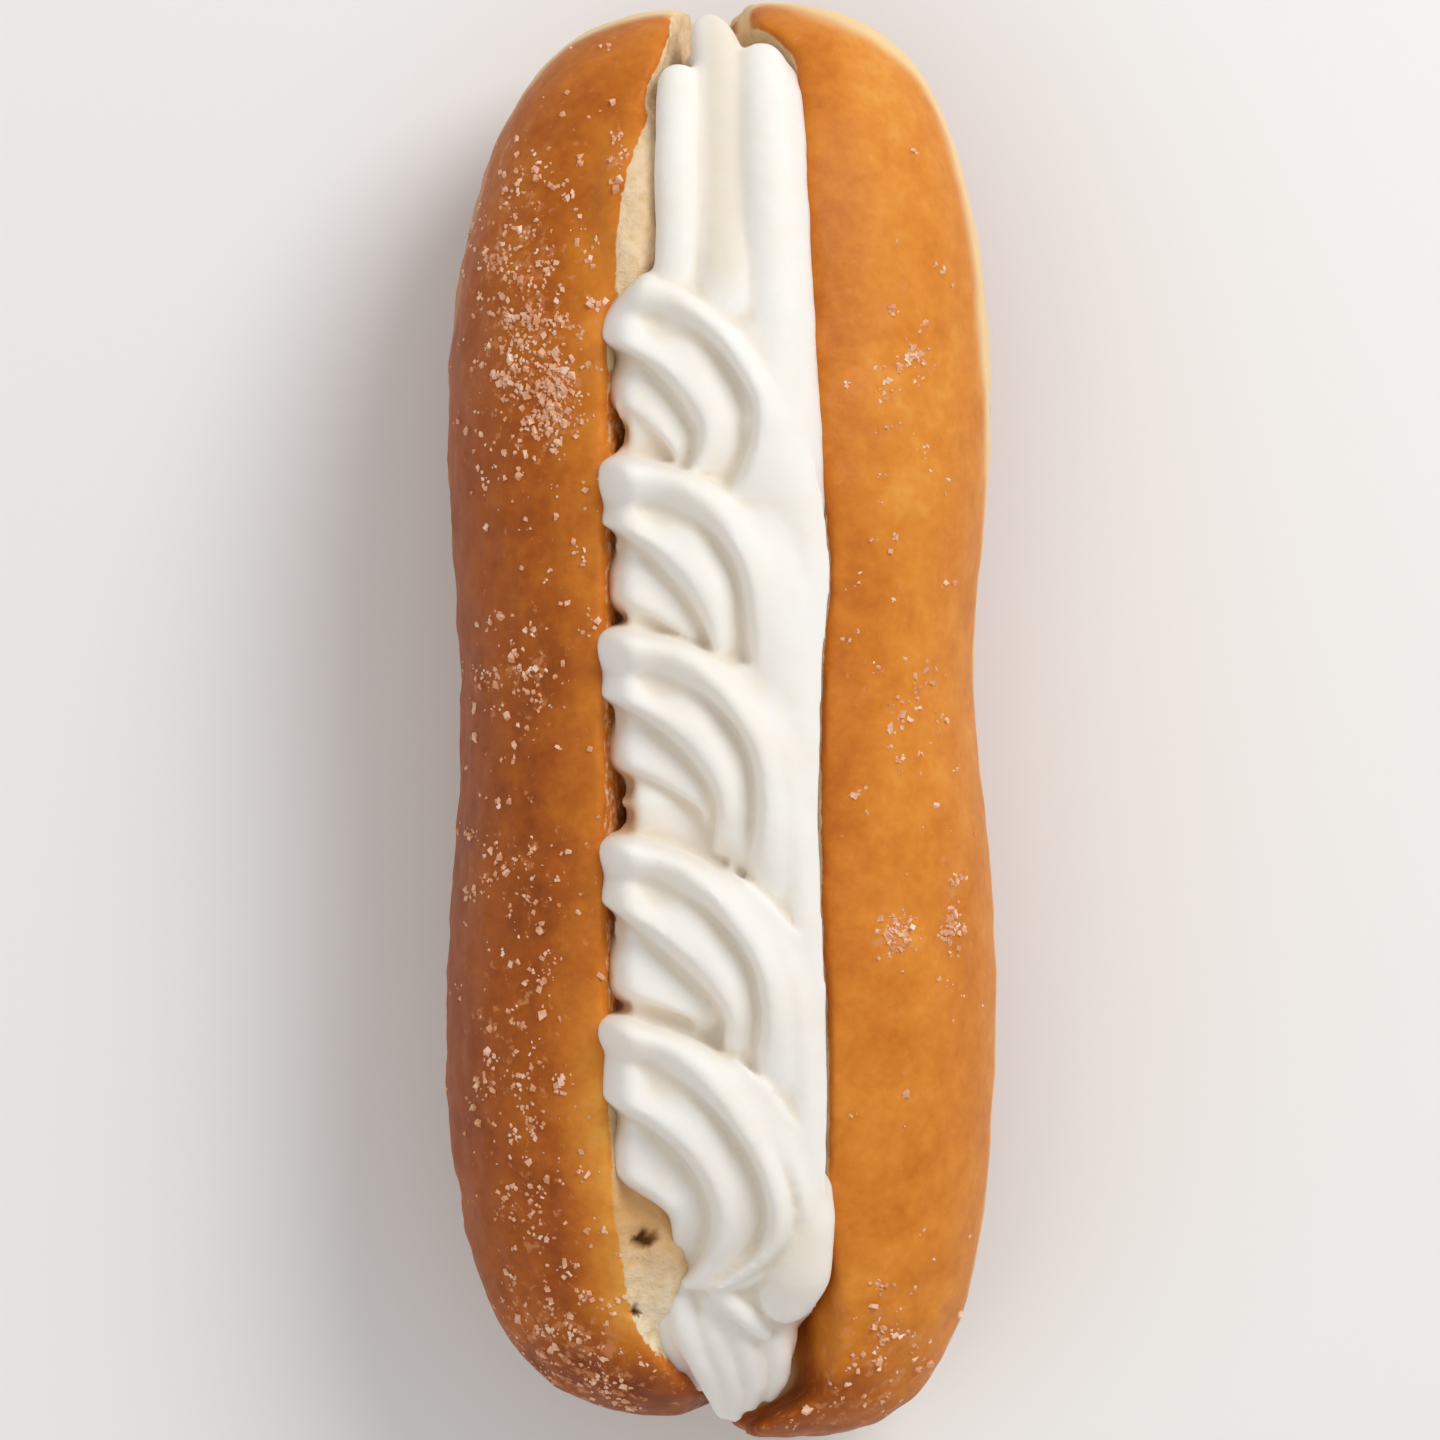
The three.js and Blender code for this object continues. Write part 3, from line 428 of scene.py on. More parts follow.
def points_of(piece):
    """A piece's vertices in millimetres, one row each."""
    flat = np.empty(3 * len(piece.data.vertices), np.float64)
    piece.data.vertices.foreach_get("co", flat)
    return flat.reshape(-1, 3) * 1000


def set_points(piece, points):
    piece.data.vertices.foreach_set("co", (points / 1000).astype(np.float32).ravel())
    piece.data.update()


def normals_of(piece):
    flat = np.empty(3 * len(piece.data.vertices), np.float64)
    piece.data.vertices.foreach_get("normal", flat)
    return flat.reshape(-1, 3)


def reshaped(piece, place):
    """Every vertex goes where the given function puts it. The function reads the primitive's own units."""
    x, y, z = place(*(points_of(piece) / 1000).T)
    set_points(piece, np.column_stack((x, y, z)))
    return piece


def finished_by(piece, kind, **settings):
    """A modifier with these settings is applied to a piece."""
    bpy.ops.object.select_all(action="DESELECT")
    bpy.context.view_layer.objects.active = piece
    piece.select_set(True)
    modifier = piece.modifiers.new(kind, kind)
    for name, value in settings.items():
        setattr(modifier, name, value)
    bpy.ops.object.modifier_apply(modifier=modifier.name)
    return piece


def new_block(name, across, along):
    """A flat sheet of faces from -1 to 1, drawn down into a closed block with its floor at -1."""
    bpy.ops.object.select_all(action="DESELECT")
    bpy.ops.mesh.primitive_grid_add(x_subdivisions=across, y_subdivisions=along, size=2)
    piece = bpy.context.object
    piece.name = name
    bpy.ops.object.mode_set(mode="EDIT")
    bpy.ops.mesh.select_all(action="SELECT")
    bpy.ops.mesh.extrude_region_move(TRANSFORM_OT_translate={"value": (0, 0, -1)})
    bpy.ops.mesh.select_all(action="SELECT")
    bpy.ops.mesh.normals_make_consistent(inside=False)
    bpy.ops.object.mode_set(mode="OBJECT")
    return piece


def is_top(c):
    """Whether a vertex of a new block is on its top."""
    return c > -0.5


def new_ball(name, segments, rings):
    bpy.ops.object.select_all(action="DESELECT")
    bpy.ops.mesh.primitive_uv_sphere_add(segments=segments, ring_count=rings, radius=1)
    bpy.context.object.name = name
    return bpy.context.object


def joined(name, parts):
    bpy.ops.object.select_all(action="DESELECT")
    for part in parts:
        part.select_set(True)
    bpy.context.view_layer.objects.active = parts[0]
    bpy.ops.object.join()
    parts[0].name = name
    return parts[0]


def noise_at(points, size, seed):
    """Smooth noise from -1 to 1 at each point, with features of the given size in millimetres."""
    shift = Vector([seed * part for part in NOISE_SHIFT])
    return np.array([noise.noise(Vector(point) / size + shift) for point in points])


def relief(points, table):
    return sum(height * noise_at(points, size, seed) for height, size, seed in table)


def hollows_of(piece, rounds=24):
    """How far each vertex lies, in millimetres, under the even run of its surroundings."""
    points = points_of(piece)
    ends = np.empty(2 * len(piece.data.edges), np.int64)
    piece.data.edges.foreach_get("vertices", ends)
    near, far = np.concatenate((ends.reshape(-1, 2), ends.reshape(-1, 2)[:, ::-1])).T
    count = np.bincount(near, minlength=len(points))
    even = points
    for _ in range(rounds):
        even = np.column_stack([np.bincount(near, even[far, k], len(points)) / count for k in range(3)])
    return np.sum((even - points) * normals_of(piece), axis=1)


def rope(places, segments=28, rings=60):
    """A rope with round ends through the given places, each an X, a Y, a Z and a radius."""
    path = np.array(places)[:, :3]
    radii = np.array(places)[:, 3]
    walked = np.concatenate(([0], np.cumsum(np.linalg.norm(np.diff(path, axis=0), axis=1))))
    length = walked[-1]
    fine = np.linspace(0, length, ROPE_STEPS)
    centre = np.column_stack([np.interp(fine, walked, path[:, k]) for k in range(3)])
    for _ in range(ROPE_EVENING):
        centre[1:-1] = (centre[:-2] + 2 * centre[1:-1] + centre[2:]) / 4
    tangent = np.gradient(centre, axis=0)
    tangent /= np.linalg.norm(tangent, axis=1)[:, None]

    def place(a, b, c):
        turn = np.arccos(np.clip(c, -1, 1)) / math.pi
        share = turn - ROPE_CROWDING * np.sin(2 * math.pi * turn) / (2 * math.pi)
        at = share * length
        middle = np.column_stack([np.interp(at, fine, centre[:, k]) for k in range(3)])
        ahead = np.column_stack([np.interp(at, fine, tangent[:, k]) for k in range(3)])
        aside = np.cross((0, 0, 1), ahead)
        aside /= np.linalg.norm(aside, axis=1)[:, None]
        above = np.cross(ahead, aside)
        thick = np.interp(at, walked, radii)
        to_end = np.minimum(1, np.minimum(share, 1 - share) * length / thick)
        full = thick * np.sqrt(np.maximum(0, 1 - (1 - to_end) ** 2))
        angle = np.arctan2(b, a)
        spot = middle + aside * (full * np.cos(angle))[:, None] + above * (full * np.sin(angle))[:, None]
        return spot.T

    return reshaped(new_ball("rope", segments, rings), place)


# The dough: a loaf with its own outline for each half, cut open like a V.

def loaf_place(a, b, c):
    turn = 1 - 2 * np.arccos(np.clip(-c, -1, 1)) / math.pi
    along = np.sign(turn) * (1 - (1 - np.abs(turn)) ** TIP_CROWDING)
    angle = np.arctan2(b, a)
    across = signed_power(np.cos(angle), 2 / SECTION_POWER)
    up = signed_power(np.sin(angle), 2 / SECTION_POWER)
    end_share = fullness(along, END_POWER)
    right_share = (1 + np.tanh(SEAM_SHARPNESS * across * np.minimum(1, SEAM_FADE * end_share))) / 2
    top = mix(LEFT_HALF["top"], RIGHT_HALF["top"], right_share)
    bottom = mix(LEFT_HALF["bottom"], RIGHT_HALF["bottom"], right_share)
    y = mix(bottom, top, (along + 1) / 2)
    left = half_width(LEFT_HALF, along, y)
    right = half_width(RIGHT_HALF, along, y)
    x = across * mix(left, right, right_share)
    tall = np.where(up > 0, CROWN_RISE, BELLY_DROP)
    z = WIDEST_Z + up * tall * end_share + lump(x, y) * np.maximum(0, up) * end_share
    return x, y, np.maximum(z, 0)


def cut_place(a, b, c):
    y = b * (RIGHT_HALF["top"] + CUT_PAST_END)
    z = np.where(is_top(c), CUT_TOP_Z, HINGE_Z)
    return cut_middle(y) + a * cut_half_width(y, z), y, z


def doughnut_dough():
    loaf = reshaped(new_ball("split_dough", segments=200, rings=170), loaf_place)
    cutter = reshaped(new_block("cutter", across=8, along=90), cut_place)
    finished_by(loaf, "BOOLEAN", operation="DIFFERENCE", solver="EXACT", object=cutter)
    bpy.data.objects.remove(cutter)
    joined("split_dough", [loaf, *(rope(places) for places in CRUMB_BULGES)])
    finished_by(loaf, "REMESH", mode="VOXEL", voxel_size=VOXEL_DOUGH / 1000)
    return finished_by(loaf, "SMOOTH", factor=0.5, iterations=12)


# The cream. All of it is piped in one go, so it is one piece.

def along_edge(edge, angle, drop):
    """A place on a ridge's inner edge, from the swirl's centre. Below that it drops like an ellipse."""
    reach, rise, power = edge
    above = rise * np.maximum(0, np.sin(angle)) ** (2 / power)
    below = drop * np.maximum(0, -np.sin(angle))
    return reach * signed_power(np.cos(angle), 2 / np.where(angle > 0, power, 2)), above - below


def ridge_height(depth, share):
    """The height across the ridges: steep from a foot to its crest, gently bowed towards the next foot."""
    height = mix(CORE_Z, THIRD["foot_z"], np.clip(depth / THIRD["foot"], 0, 1))
    groove_z = mix(SADDLE_Z, FIRST["foot_z"], smooth_step(*GROOVE_START, share))
    groove_z = mix(groove_z, GROOVE_END_Z, smooth_step(*GROOVE_END, share))
    crest = mix(HEAD_CREST, FIRST["crest"], smooth_step(*HEAD_NARROWS, share))
    first = dict(FIRST, crest=crest, foot_z=groove_z)
    outer = dict(foot=1.0, foot_z=OUTER_Z)
    for ridge, after in ((THIRD, SECOND), (SECOND, first), (first, outer)):
        climb = np.clip((depth - ridge["foot"]) / (ridge["crest"] - ridge["foot"]), 0, 1)
        fall = np.clip((depth - ridge["crest"]) / (after["foot"] - ridge["crest"]), 0, 1)
        rising = mix(ridge["foot_z"], ridge["crest_z"], np.sin(climb * math.pi / 2))
        falling = mix(ridge["crest_z"], after["foot_z"], fall ** BOW)
        inside = (depth >= ridge["foot"]) & (depth <= after["foot"])
        height = np.where(inside, np.where(depth > ridge["crest"], falling, rising), height)
    return height


def swirl_path(facts, edge, depth, share):
    """How far right of its centre and how far up a swirl has come at a share of its path."""
    run = mix(*facts["run"], depth ** RUN_POWER)
    end = facts["end"] * mix(INNER_TURN, 1.0, smooth_step(*INNER_TURN_DEPTHS, depth))
    straight_part = 1 - facts["arc"] + NEARLY_NONE
    out, rise = 0, 0
    for nudge in TURN_EASING:
        near = share + nudge * np.minimum(1, np.minimum(share, 1 - share) / TURN_EASING[-1])
        turned = np.minimum(1, near / facts["arc"])
        straight = np.maximum(0, near - facts["arc"]) / straight_part
        angle = np.radians(mix(START_ANGLE, end, turned))
        near_out, near_rise = along_edge(edge, angle, facts["drop"])
        out = out + near_out / len(TURN_EASING)
        rise = rise + (near_rise - run * straight) / len(TURN_EASING)
    return out, rise


def swirl(facts):
    """One swirl: ridges that start over the left edge of the cut, rise, turn down the length and sink."""
    edges = np.array([CORE_EDGE, facts["third"], facts["second"], facts["first"], facts["outer"]])

    def place(a, b, c):
        share = (a + 1) / 2
        depth = (b + 1) / 2
        late = np.maximum(0, 2 * share - 1)
        edge = [np.interp(depth, DEPTHS, edges[:, k]) for k in range(3)]
        out, rise = swirl_path(facts, edge, depth, share)
        y = facts["y"] + rise
        curl = facts["curl"] * late ** CURL_POWER * (1 - smooth_step(*CURL_ENDS, depth))
        edge_x = cut_middle(y) + cut_half_width(y, CUT_EDGE_Z - crown_fall(y)) - FITTED_GAP
        fitted = mix(1.0, (edge_x - SWIRL_CENTRE_X) / SWIRL_REACH, smooth_step(*FITTED_DEPTHS, depth))
        out = fitted * (out - curl * bell(depth - CURL_DEPTH, CURL_SPAN))
        # the tips of the ridges reach over the left edge and the grooves begin behind them
        inset = facts["inset"]
        offset = np.interp(depth, START_DEPTHS, START_OFFSETS) + inset * smooth_step(*INSET_DEPTHS, depth)
        x = SWIRL_CENTRE_X + out + offset * fading(out, START_FADE + inset)
        wide = smooth_step(*HEAD_DEPTHS, depth)
        height = ridge_height(depth, share) + wide * waves(out, HEAD_WAVES)
        height -= (1 - wide) * INNER_DROP * fading(out, INNER_SPAN) + HEAD_DROP * fading(out, HEAD_SPAN)
        height -= INSET_DROP * inset * smooth_step(*INSET_DROP_DEPTHS, depth) * fading(out, INSET_SPAN)
        # the head's outer edge rounds off to the left and runs level into the flank to the right
        leaving = (facts["drop"] > 0) * smooth_step(*FLANK_LEAVES, share)
        flat = smooth_step(*FLANK_BEGINS_X, x) * (1 - leaving)
        rounding = (1 - smooth_step(*ROUND_ENDS, share)) * (1 - flat)
        height -= ROUND_DROP * rounding * np.maximum(0, (depth - ROUND_DEPTH) / ROUND_SPAN) ** 2
        height -= facts["line"] * bell(depth - LINE_DEPTH, LINE_SPAN) * smooth_step(*LINE_BEGINS, share)
        sinking = mix(*facts["sink"], smooth_step(*SINK_DEPTHS, depth)) * late ** SINK_POWER
        off_ridges = np.clip((x - FLANK_X) / FLANK_WIDTH, 0, FLANK_REACH)
        flank = FLANK_Z - FLANK_DROP * off_ridges ** FLANK_POWER
        height = mix(height - sinking, flank, flat * smooth_step(*FLANK_DEPTHS, depth))
        height -= RIM_DROP * flat * smooth_step(*RIM_DEPTHS, depth)
        fall = CREAM_FALL * crown_fall(y)
        floor = SWIRL_FLOOR_Z - SWIRL_FLOOR_SLOPE * facts["y"] - fall
        z = np.where(is_top(c), np.maximum(height - fall, floor + SWIRL_LEAST), floor)
        return np.where(is_top(c), x, mix(cut_middle(y), x, SWIRL_FLOOR_WIDTH)), y, z

    return reshaped(new_block("swirl", across=96, along=120), place)


def filling():
    def place(a, b, c):
        along = (1 + np.sign(b) * (1 - (1 - np.abs(b)) ** FILLING_CROWDING)) / 2
        y = mix(FILLING_BOTTOM_Y, FILLING_TOP_Y, along)
        level = WIDEST_Z + FILLING_SHARE * (CROWN_RISE - crown_fall(y))
        level += steps(np.abs(y), FILLING_END_STEPS)
        for at, span, deep, start, end in LOW_PLACES:
            level = level - deep * bell(y - at, span) * smooth_step(start, end, a)
        z = np.where(is_top(c), level, HINGE_Z + FILLING_LIFT)
        return cut_middle(y) + a * (cut_half_width(y, z) - FILLING_GAP), y, z

    return reshaped(new_block("filling", across=40, along=150), place)


def piped_cream():
    parts = [filling(), *(rope(places) for places in ROPES.values()), *(swirl(facts) for facts in SWIRLS)]
    cream = joined("piped_cream", parts)
    finished_by(cream, "REMESH", mode="VOXEL", voxel_size=VOXEL_CREAM / 1000)
    finished_by(cream, "SMOOTH", factor=0.5, iterations=6)
    # the upper ropes were smoothed over, and the faces that the dough hides are made fewer
    x, y, z = points_of(cream).T
    upper = smooth_step(*UPPER_ROPES_Y, y)
    hidden = (z < HIDDEN_BELOW_Z - crown_fall(y)) & (np.abs(y) < HIDDEN_SPAN)
    for name, weights in (("upper", upper), ("hidden", hidden)):
        group = cream.vertex_groups.new(name=name)
        for index in np.flatnonzero(weights):
            group.add([int(index)], float(weights[index]), "REPLACE")
    finished_by(cream, "SMOOTH", factor=0.5, iterations=14, vertex_group="upper")
    cream.data.calc_loop_triangles()
    share = CREAM_TRIANGLES / len(cream.data.loop_triangles)
    finished_by(cream, "DECIMATE", ratio=min(1.0, share), vertex_group="hidden", vertex_group_factor=5.0)
    cream.vertex_groups.clear()
    return cream


def sugar_spots(chance):
    """Where grains lie, seen from above: single ones, and clumps of up to a few dozen."""
    spots = []
    for x, y, spread_x, spread_y, clumps, grains in SUGAR_PATCHES:
        for _ in range(clumps):
            count = 1 + int(grains * chance.exponential())
            start = (chance.normal(x, spread_x), chance.normal(y, spread_y))
            spread = CLUMP_SPREAD * math.sqrt(count - 1) * chance.uniform(*CLUMP_STRETCH, 2)
            spots.append(chance.normal(start, spread, (count, 2)))
    spots = np.vstack(spots)
    x, y = spots.T
    off_cut = np.abs(x - cut_middle(y)) - cut_half_width(y, CUT_EDGE_Z - crown_fall(y))
    return spots[off_cut > GRAIN_GAP]


def sugar_grains(crust):
    """Grains of sugar: one broken block, copied with its own size and turn, half sunk into the crust."""
    chance = np.random.default_rng(SUGAR_SEED)
    bpy.ops.object.select_all(action="DESELECT")
    bpy.ops.mesh.primitive_cube_add(size=1)
    grain = bpy.context.object
    grain.name = "sugar_grains"
    corners = points_of(grain) / 1000
    corners[corners[:, 2] > 0, :2] *= GRAIN_TOP
    corners[:, 0] += GRAIN_LEAN * corners[:, 2]
    faces = [tuple(face.vertices) for face in grain.data.polygons]
    tree = BVHTree.FromObject(crust, bpy.context.evaluated_depsgraph_get())
    vertices = []
    polygons = []
    for x, y in sugar_spots(chance):
        hit, normal, _, _ = tree.ray_cast(Vector((x / 1000, y / 1000, ABOVE_ALL)), Vector((0, 0, -1)))
        if hit is None or normal.z < GRAIN_STEEPEST:
            continue
        size = GRAIN_SIZE * float(np.clip(chance.lognormal(0, GRAIN_VARIATION), *GRAIN_LIMITS))
        scale = size * chance.uniform(*GRAIN_STRETCH, 3)
        axes = np.linalg.qr(chance.normal(size=(3, 3)))[0]
        axes[:, 0] *= np.sign(np.linalg.det(axes))
        turned = (corners * scale) @ axes.T + np.array(hit) * 1000 - np.array(normal) * GRAIN_SUNK
        polygons.extend(tuple(len(vertices) + corner for corner in face) for face in faces)
        vertices.extend(turned / 1000)
    grain.data.clear_geometry()
    grain.data.from_pydata([tuple(vertex) for vertex in vertices], [], polygons)
    grain.data.update()
    return grain


# Materials

def colour(hexadecimal):
    """An sRGB colour, written as six hexadecimal digits, as linear light."""
    parts = [int(hexadecimal[k:k + 2], 16) / 255 for k in (0, 2, 4)]
    return (*(p / 12.92 if p <= 0.04045 else ((p + 0.055) / 1.055) ** 2.4 for p in parts), 1.0)


def per_mm(size):
    """The scale that gives a pattern features of this many millimetres."""
    return 1000 / size


def add(tree, kind, settings=None, links=None):
    """Adds a node with its settings and links. The stops of a ramp are pairs of a place and a colour.

    Sockets that share a name go by number: a mix has its share at 0, its vectors at 4 and 5 and its colours
    at 6 and 7.
    """
    made = tree.nodes.new(kind)
    for name, value in (settings or {}).items():
        if name == "stops":
            elements = made.color_ramp.elements
            while len(elements) < len(value):
                elements.new(0.5)
            for element, (place, tone) in zip(elements, value):
                element.position = place
                element.color = colour(tone)
        elif isinstance(name, str) and hasattr(made, name):
            setattr(made, name, value)
        else:
            made.inputs[name].default_value = value
    for name, source in (links or {}).items():
        tree.links.new(source, made.inputs[name])
    return made


def new_material(name):
    material = bpy.data.materials.new(name)
    material.use_nodes = True
    material.node_tree.nodes.clear()
    return material, material.node_tree


# Noises in the crust: the size of their features in millimetres, their detail and their roughness
CRUST_NOISES = ((10.0, 4.0, 0.55), (3.4, 3.0, 0.5), (1.2, 3.0, 0.6), (1.4, 4.0, 0.6), (1.5, 4.0, 0.65))
CLOUD_WEIGHT = 0.42
BLOTCH_WEIGHT = 0.30
SPECK_WEIGHT = 0.22
MEAN_NOISE = 0.47  # what these three add up to on average
BROWNS = ((0.0, "501C06"), (0.25, "8C3F0E"), (0.45, "B35C14"), (0.65, "CF7820"), (0.82, "E08C2F"),
          (1.0, "ECA748"))
CRUMBS = ((0.28, "E6CB9E"), (0.42, "F0DAB4"), (0.55, "F6E4C4"), (1.0, "F9ECD4"))
# the sugar veil's tone, also painted as shade on the cut face at the lower right
VEIL_AND_SHADE_TONE = "9C5029"
FILM_TONE = "DB8F58"
RING_TONE = "F2D09A"
TOASTED_TONE = "D2974C"
PIT_SHADE_TONE = "8A6234"
CRUMB_RAGGED = 0.7
CREAM_TONES = ((0.3, "F7F0E6"), (0.7, "FAF5EF"))
# painted shade for the cream's hollows, valley and lobe
SHADED_CREAM_TONE = "EFE5D4"
STAINED_AND_SHADED_CREAM_TONE = "E6C894"
SUGAR_TONES = ((0.38, "E09E72"), (0.55, "EEBB96"), (0.74, "FAE2CE"))
BOARD_TONE = "F7F6F4"


def fried_crust():
    """Dough fried in oil, golden to red brown, with the torn crumb of the cut in the same skin.

    The eye sees three sizes of mottling in the brown, a pale ring where the dough floated above the oil, a
    matt pinkish veil of fine sugar on the outside and, in the cut, a pale porous crumb. Painted light and
    shade for light from the upper right are mixed into the brown, and painted shade darkens the cut face at
    the lower right and the two pits.
    """
    material, tree = new_material("fried_dough_crust")
    place = add(tree, "ShaderNodeTexCoord").outputs["Object"]
    clouds, blotches, specks, pores, flecks = (
        add(tree, "ShaderNodeTexNoise", {"Scale": per_mm(size), "Detail": detail, "Roughness": rough},
            {"Vector": place}).outputs["Fac"] for size, detail, rough in CRUST_NOISES)
    baked, ring, crumb, veil, sugary, pits, toasted = (
        add(tree, "ShaderNodeAttribute", {"attribute_name": name}).outputs["Fac"]
        for name in ("baked", "ring", "crumb", "veil", "sugary", "pits", "toasted"))

    # how brown: each pattern moves it up or down around the place's own value, which holds painted light and
    # shade as well as browning
    brown = baked
    for fac, weight in ((clouds, CLOUD_WEIGHT), (blotches, BLOTCH_WEIGHT), (specks, SPECK_WEIGHT)):
        brown = add(tree, "ShaderNodeMath", {"operation": "MULTIPLY_ADD", 1: weight},
                    {0: fac, 2: brown}).outputs[0]
    brown = add(tree, "ShaderNodeMath", {"operation": "SUBTRACT", 1: MEAN_NOISE}, {0: brown}).outputs[0]
    crust = add(tree, "ShaderNodeValToRGB", {"stops": BROWNS}, {"Fac": brown}).outputs["Color"]
    dusted_and_shaded = add(tree, "ShaderNodeMath", {"operation": "MULTIPLY"}, {0: veil, 1: blotches}).outputs[0]
    film = add(tree, "ShaderNodeMath", {"operation": "ADD"}, {0: flecks, 1: sugary}).outputs[0]
    film = add(tree, "ShaderNodeMapRange", {"From Min": 0.65, "From Max": 0.74, "To Max": 0.7},
               {"Value": film}).outputs["Result"]
    for share, tone in ((dusted_and_shaded, VEIL_AND_SHADE_TONE), (film, FILM_TONE), (ring, RING_TONE)):
        crust = add(tree, "ShaderNodeMix", {"data_type": "RGBA", 7: colour(tone)},
                    {0: share, 6: crust}).outputs[2]

    # the crumb begins in a ragged line
    ragged = add(tree, "ShaderNodeMath", {"operation": "MULTIPLY_ADD", 1: CRUMB_RAGGED},
                 {0: specks, 2: crumb}).outputs[0]
    torn = add(tree, "ShaderNodeMapRange", {"From Min": 0.75, "From Max": 0.95},
               {"Value": ragged}).outputs["Result"]
    inside = add(tree, "ShaderNodeValToRGB", {"stops": CRUMBS}, {"Fac": pores}).outputs["Color"]
    # the toasted places are the crumb's own colour; the pits get painted shade
    for share, tone in ((toasted, TOASTED_TONE), (pits, PIT_SHADE_TONE)):
        inside = add(tree, "ShaderNodeMix", {"data_type": "RGBA", 7: colour(tone)},
                     {0: share, 6: inside}).outputs[2]
    tone = add(tree, "ShaderNodeMix", {"data_type": "RGBA"}, {0: torn, 6: crust, 7: inside}).outputs[2]
    rough = add(tree, "ShaderNodeMapRange", {"To Min": 0.5, "To Max": 0.85},
                {"Value": torn}).outputs["Result"]

    wrinkled = add(tree, "ShaderNodeBump", {"Strength": 0.35, "Distance": 0.0004}, {"Height": blotches})
    grained = add(tree, "ShaderNodeBump", {"Strength": 0.3, "Distance": 0.0002},
                  {"Height": specks, "Normal": wrinkled.outputs[0]})
    porous = add(tree, "ShaderNodeBump", {"Strength": 0.6, "Distance": 0.0008}, {"Height": pores})
    normal = add(tree, "ShaderNodeMix", {"data_type": "VECTOR"},
                 {0: torn, 4: grained.outputs[0], 5: porous.outputs[0]}).outputs[1]
    surface = add(tree, "ShaderNodeBsdfPrincipled",
                  {"Subsurface Weight": 0.08, "Subsurface Radius": (0.8, 0.45, 0.2),
                   "Subsurface Scale": 0.002, "IOR": 1.45, "Specular IOR Level": 0.25},
                  {"Base Color": tone, "Roughness": rough, "Normal": normal})
    add(tree, "ShaderNodeOutputMaterial", links={"Surface": surface.outputs[0]})
    return material


def whipped_cream():
    """Whipped vanilla cream, piped.

    The eye sees a soft, matt, warm white that goes beige where crumb is mixed in. Painted shade darkens its
    hollows, and painted shade with painted warm bounce light tints the low gaps by the left wall. Its
    bubbles are too fine to show and are drawn 0.9 mm wide.
    """
    material, tree = new_material("whipped_vanilla_cream")
    place = add(tree, "ShaderNodeTexCoord").outputs["Object"]
    clouds = add(tree, "ShaderNodeTexNoise", {"Scale": per_mm(7), "Detail": 3.0, "Roughness": 0.5},
                 {"Vector": place}).outputs["Fac"]
    foam = add(tree, "ShaderNodeTexNoise", {"Scale": per_mm(0.9), "Detail": 3.0, "Roughness": 0.6},
               {"Vector": place}).outputs["Fac"]
    tone = add(tree, "ShaderNodeValToRGB", {"stops": CREAM_TONES}, {"Fac": clouds}).outputs["Color"]
    # deep mixes in painted shade; the stain mixes in crumb colour with painted shade and warm bounce light
    for name, other in (("deep", SHADED_CREAM_TONE), ("stain", STAINED_AND_SHADED_CREAM_TONE)):
        share = add(tree, "ShaderNodeAttribute", {"attribute_name": name}).outputs["Fac"]
        tone = add(tree, "ShaderNodeMix", {"data_type": "RGBA", 7: colour(other)},
                   {0: share, 6: tone}).outputs[2]
    soft = add(tree, "ShaderNodeBump", {"Strength": 0.10, "Distance": 0.0002}, {"Height": foam})
    surface = add(tree, "ShaderNodeBsdfPrincipled",
                  {"Roughness": 0.55, "Subsurface Weight": 0.4, "Subsurface Radius": (1.0, 0.8, 0.55),
                   "Subsurface Scale": 0.0020, "IOR": 1.42, "Specular IOR Level": 0.3},
                  {"Base Color": tone, "Normal": soft.outputs[0]})
    add(tree, "ShaderNodeOutputMaterial", links={"Surface": surface.outputs[0]})
    return material


def sugar_crystal():
    """Caster sugar crystals. Their broken faces scatter light: the eye sees pinkish flecks on brown."""
    material, tree = new_material("caster_sugar_crystals")
    place = add(tree, "ShaderNodeTexCoord").outputs["Object"]
    patches = add(tree, "ShaderNodeTexNoise", {"Scale": per_mm(2.2), "Detail": 2.0, "Roughness": 0.5},
                  {"Vector": place}).outputs["Fac"]
    tone = add(tree, "ShaderNodeValToRGB", {"stops": SUGAR_TONES}, {"Fac": patches}).outputs["Color"]
    surface = add(tree, "ShaderNodeBsdfPrincipled",
                  {"Roughness": 0.35, "IOR": 1.5, "Specular IOR Level": 0.4}, {"Base Color": tone})
    add(tree, "ShaderNodeOutputMaterial", links={"Surface": surface.outputs[0]})
    return material


def pale_board():
    """A painted board. The eye sees an even, matt, near white floor."""
    material, tree = new_material("pale_painted_board")
    surface = add(tree, "ShaderNodeBsdfPrincipled", {"Base Color": colour(BOARD_TONE), "Roughness": 0.7})
    add(tree, "ShaderNodeOutputMaterial", links={"Surface": surface.outputs[0]})
    return material


def give(piece, material):
    piece.data.materials.clear()
    piece.data.materials.append(material)


def store(piece, name, values):
    layer = piece.data.attributes.new(name, "FLOAT", "POINT")
    layer.data.foreach_set("value", np.asarray(values, np.float32))


# What each place of the crust looks like. off_cut is how far it lies outside the wall of the cut, off_middle
# how far to the right of the cut's middle, and over_ring how far above the top of the pale ring.

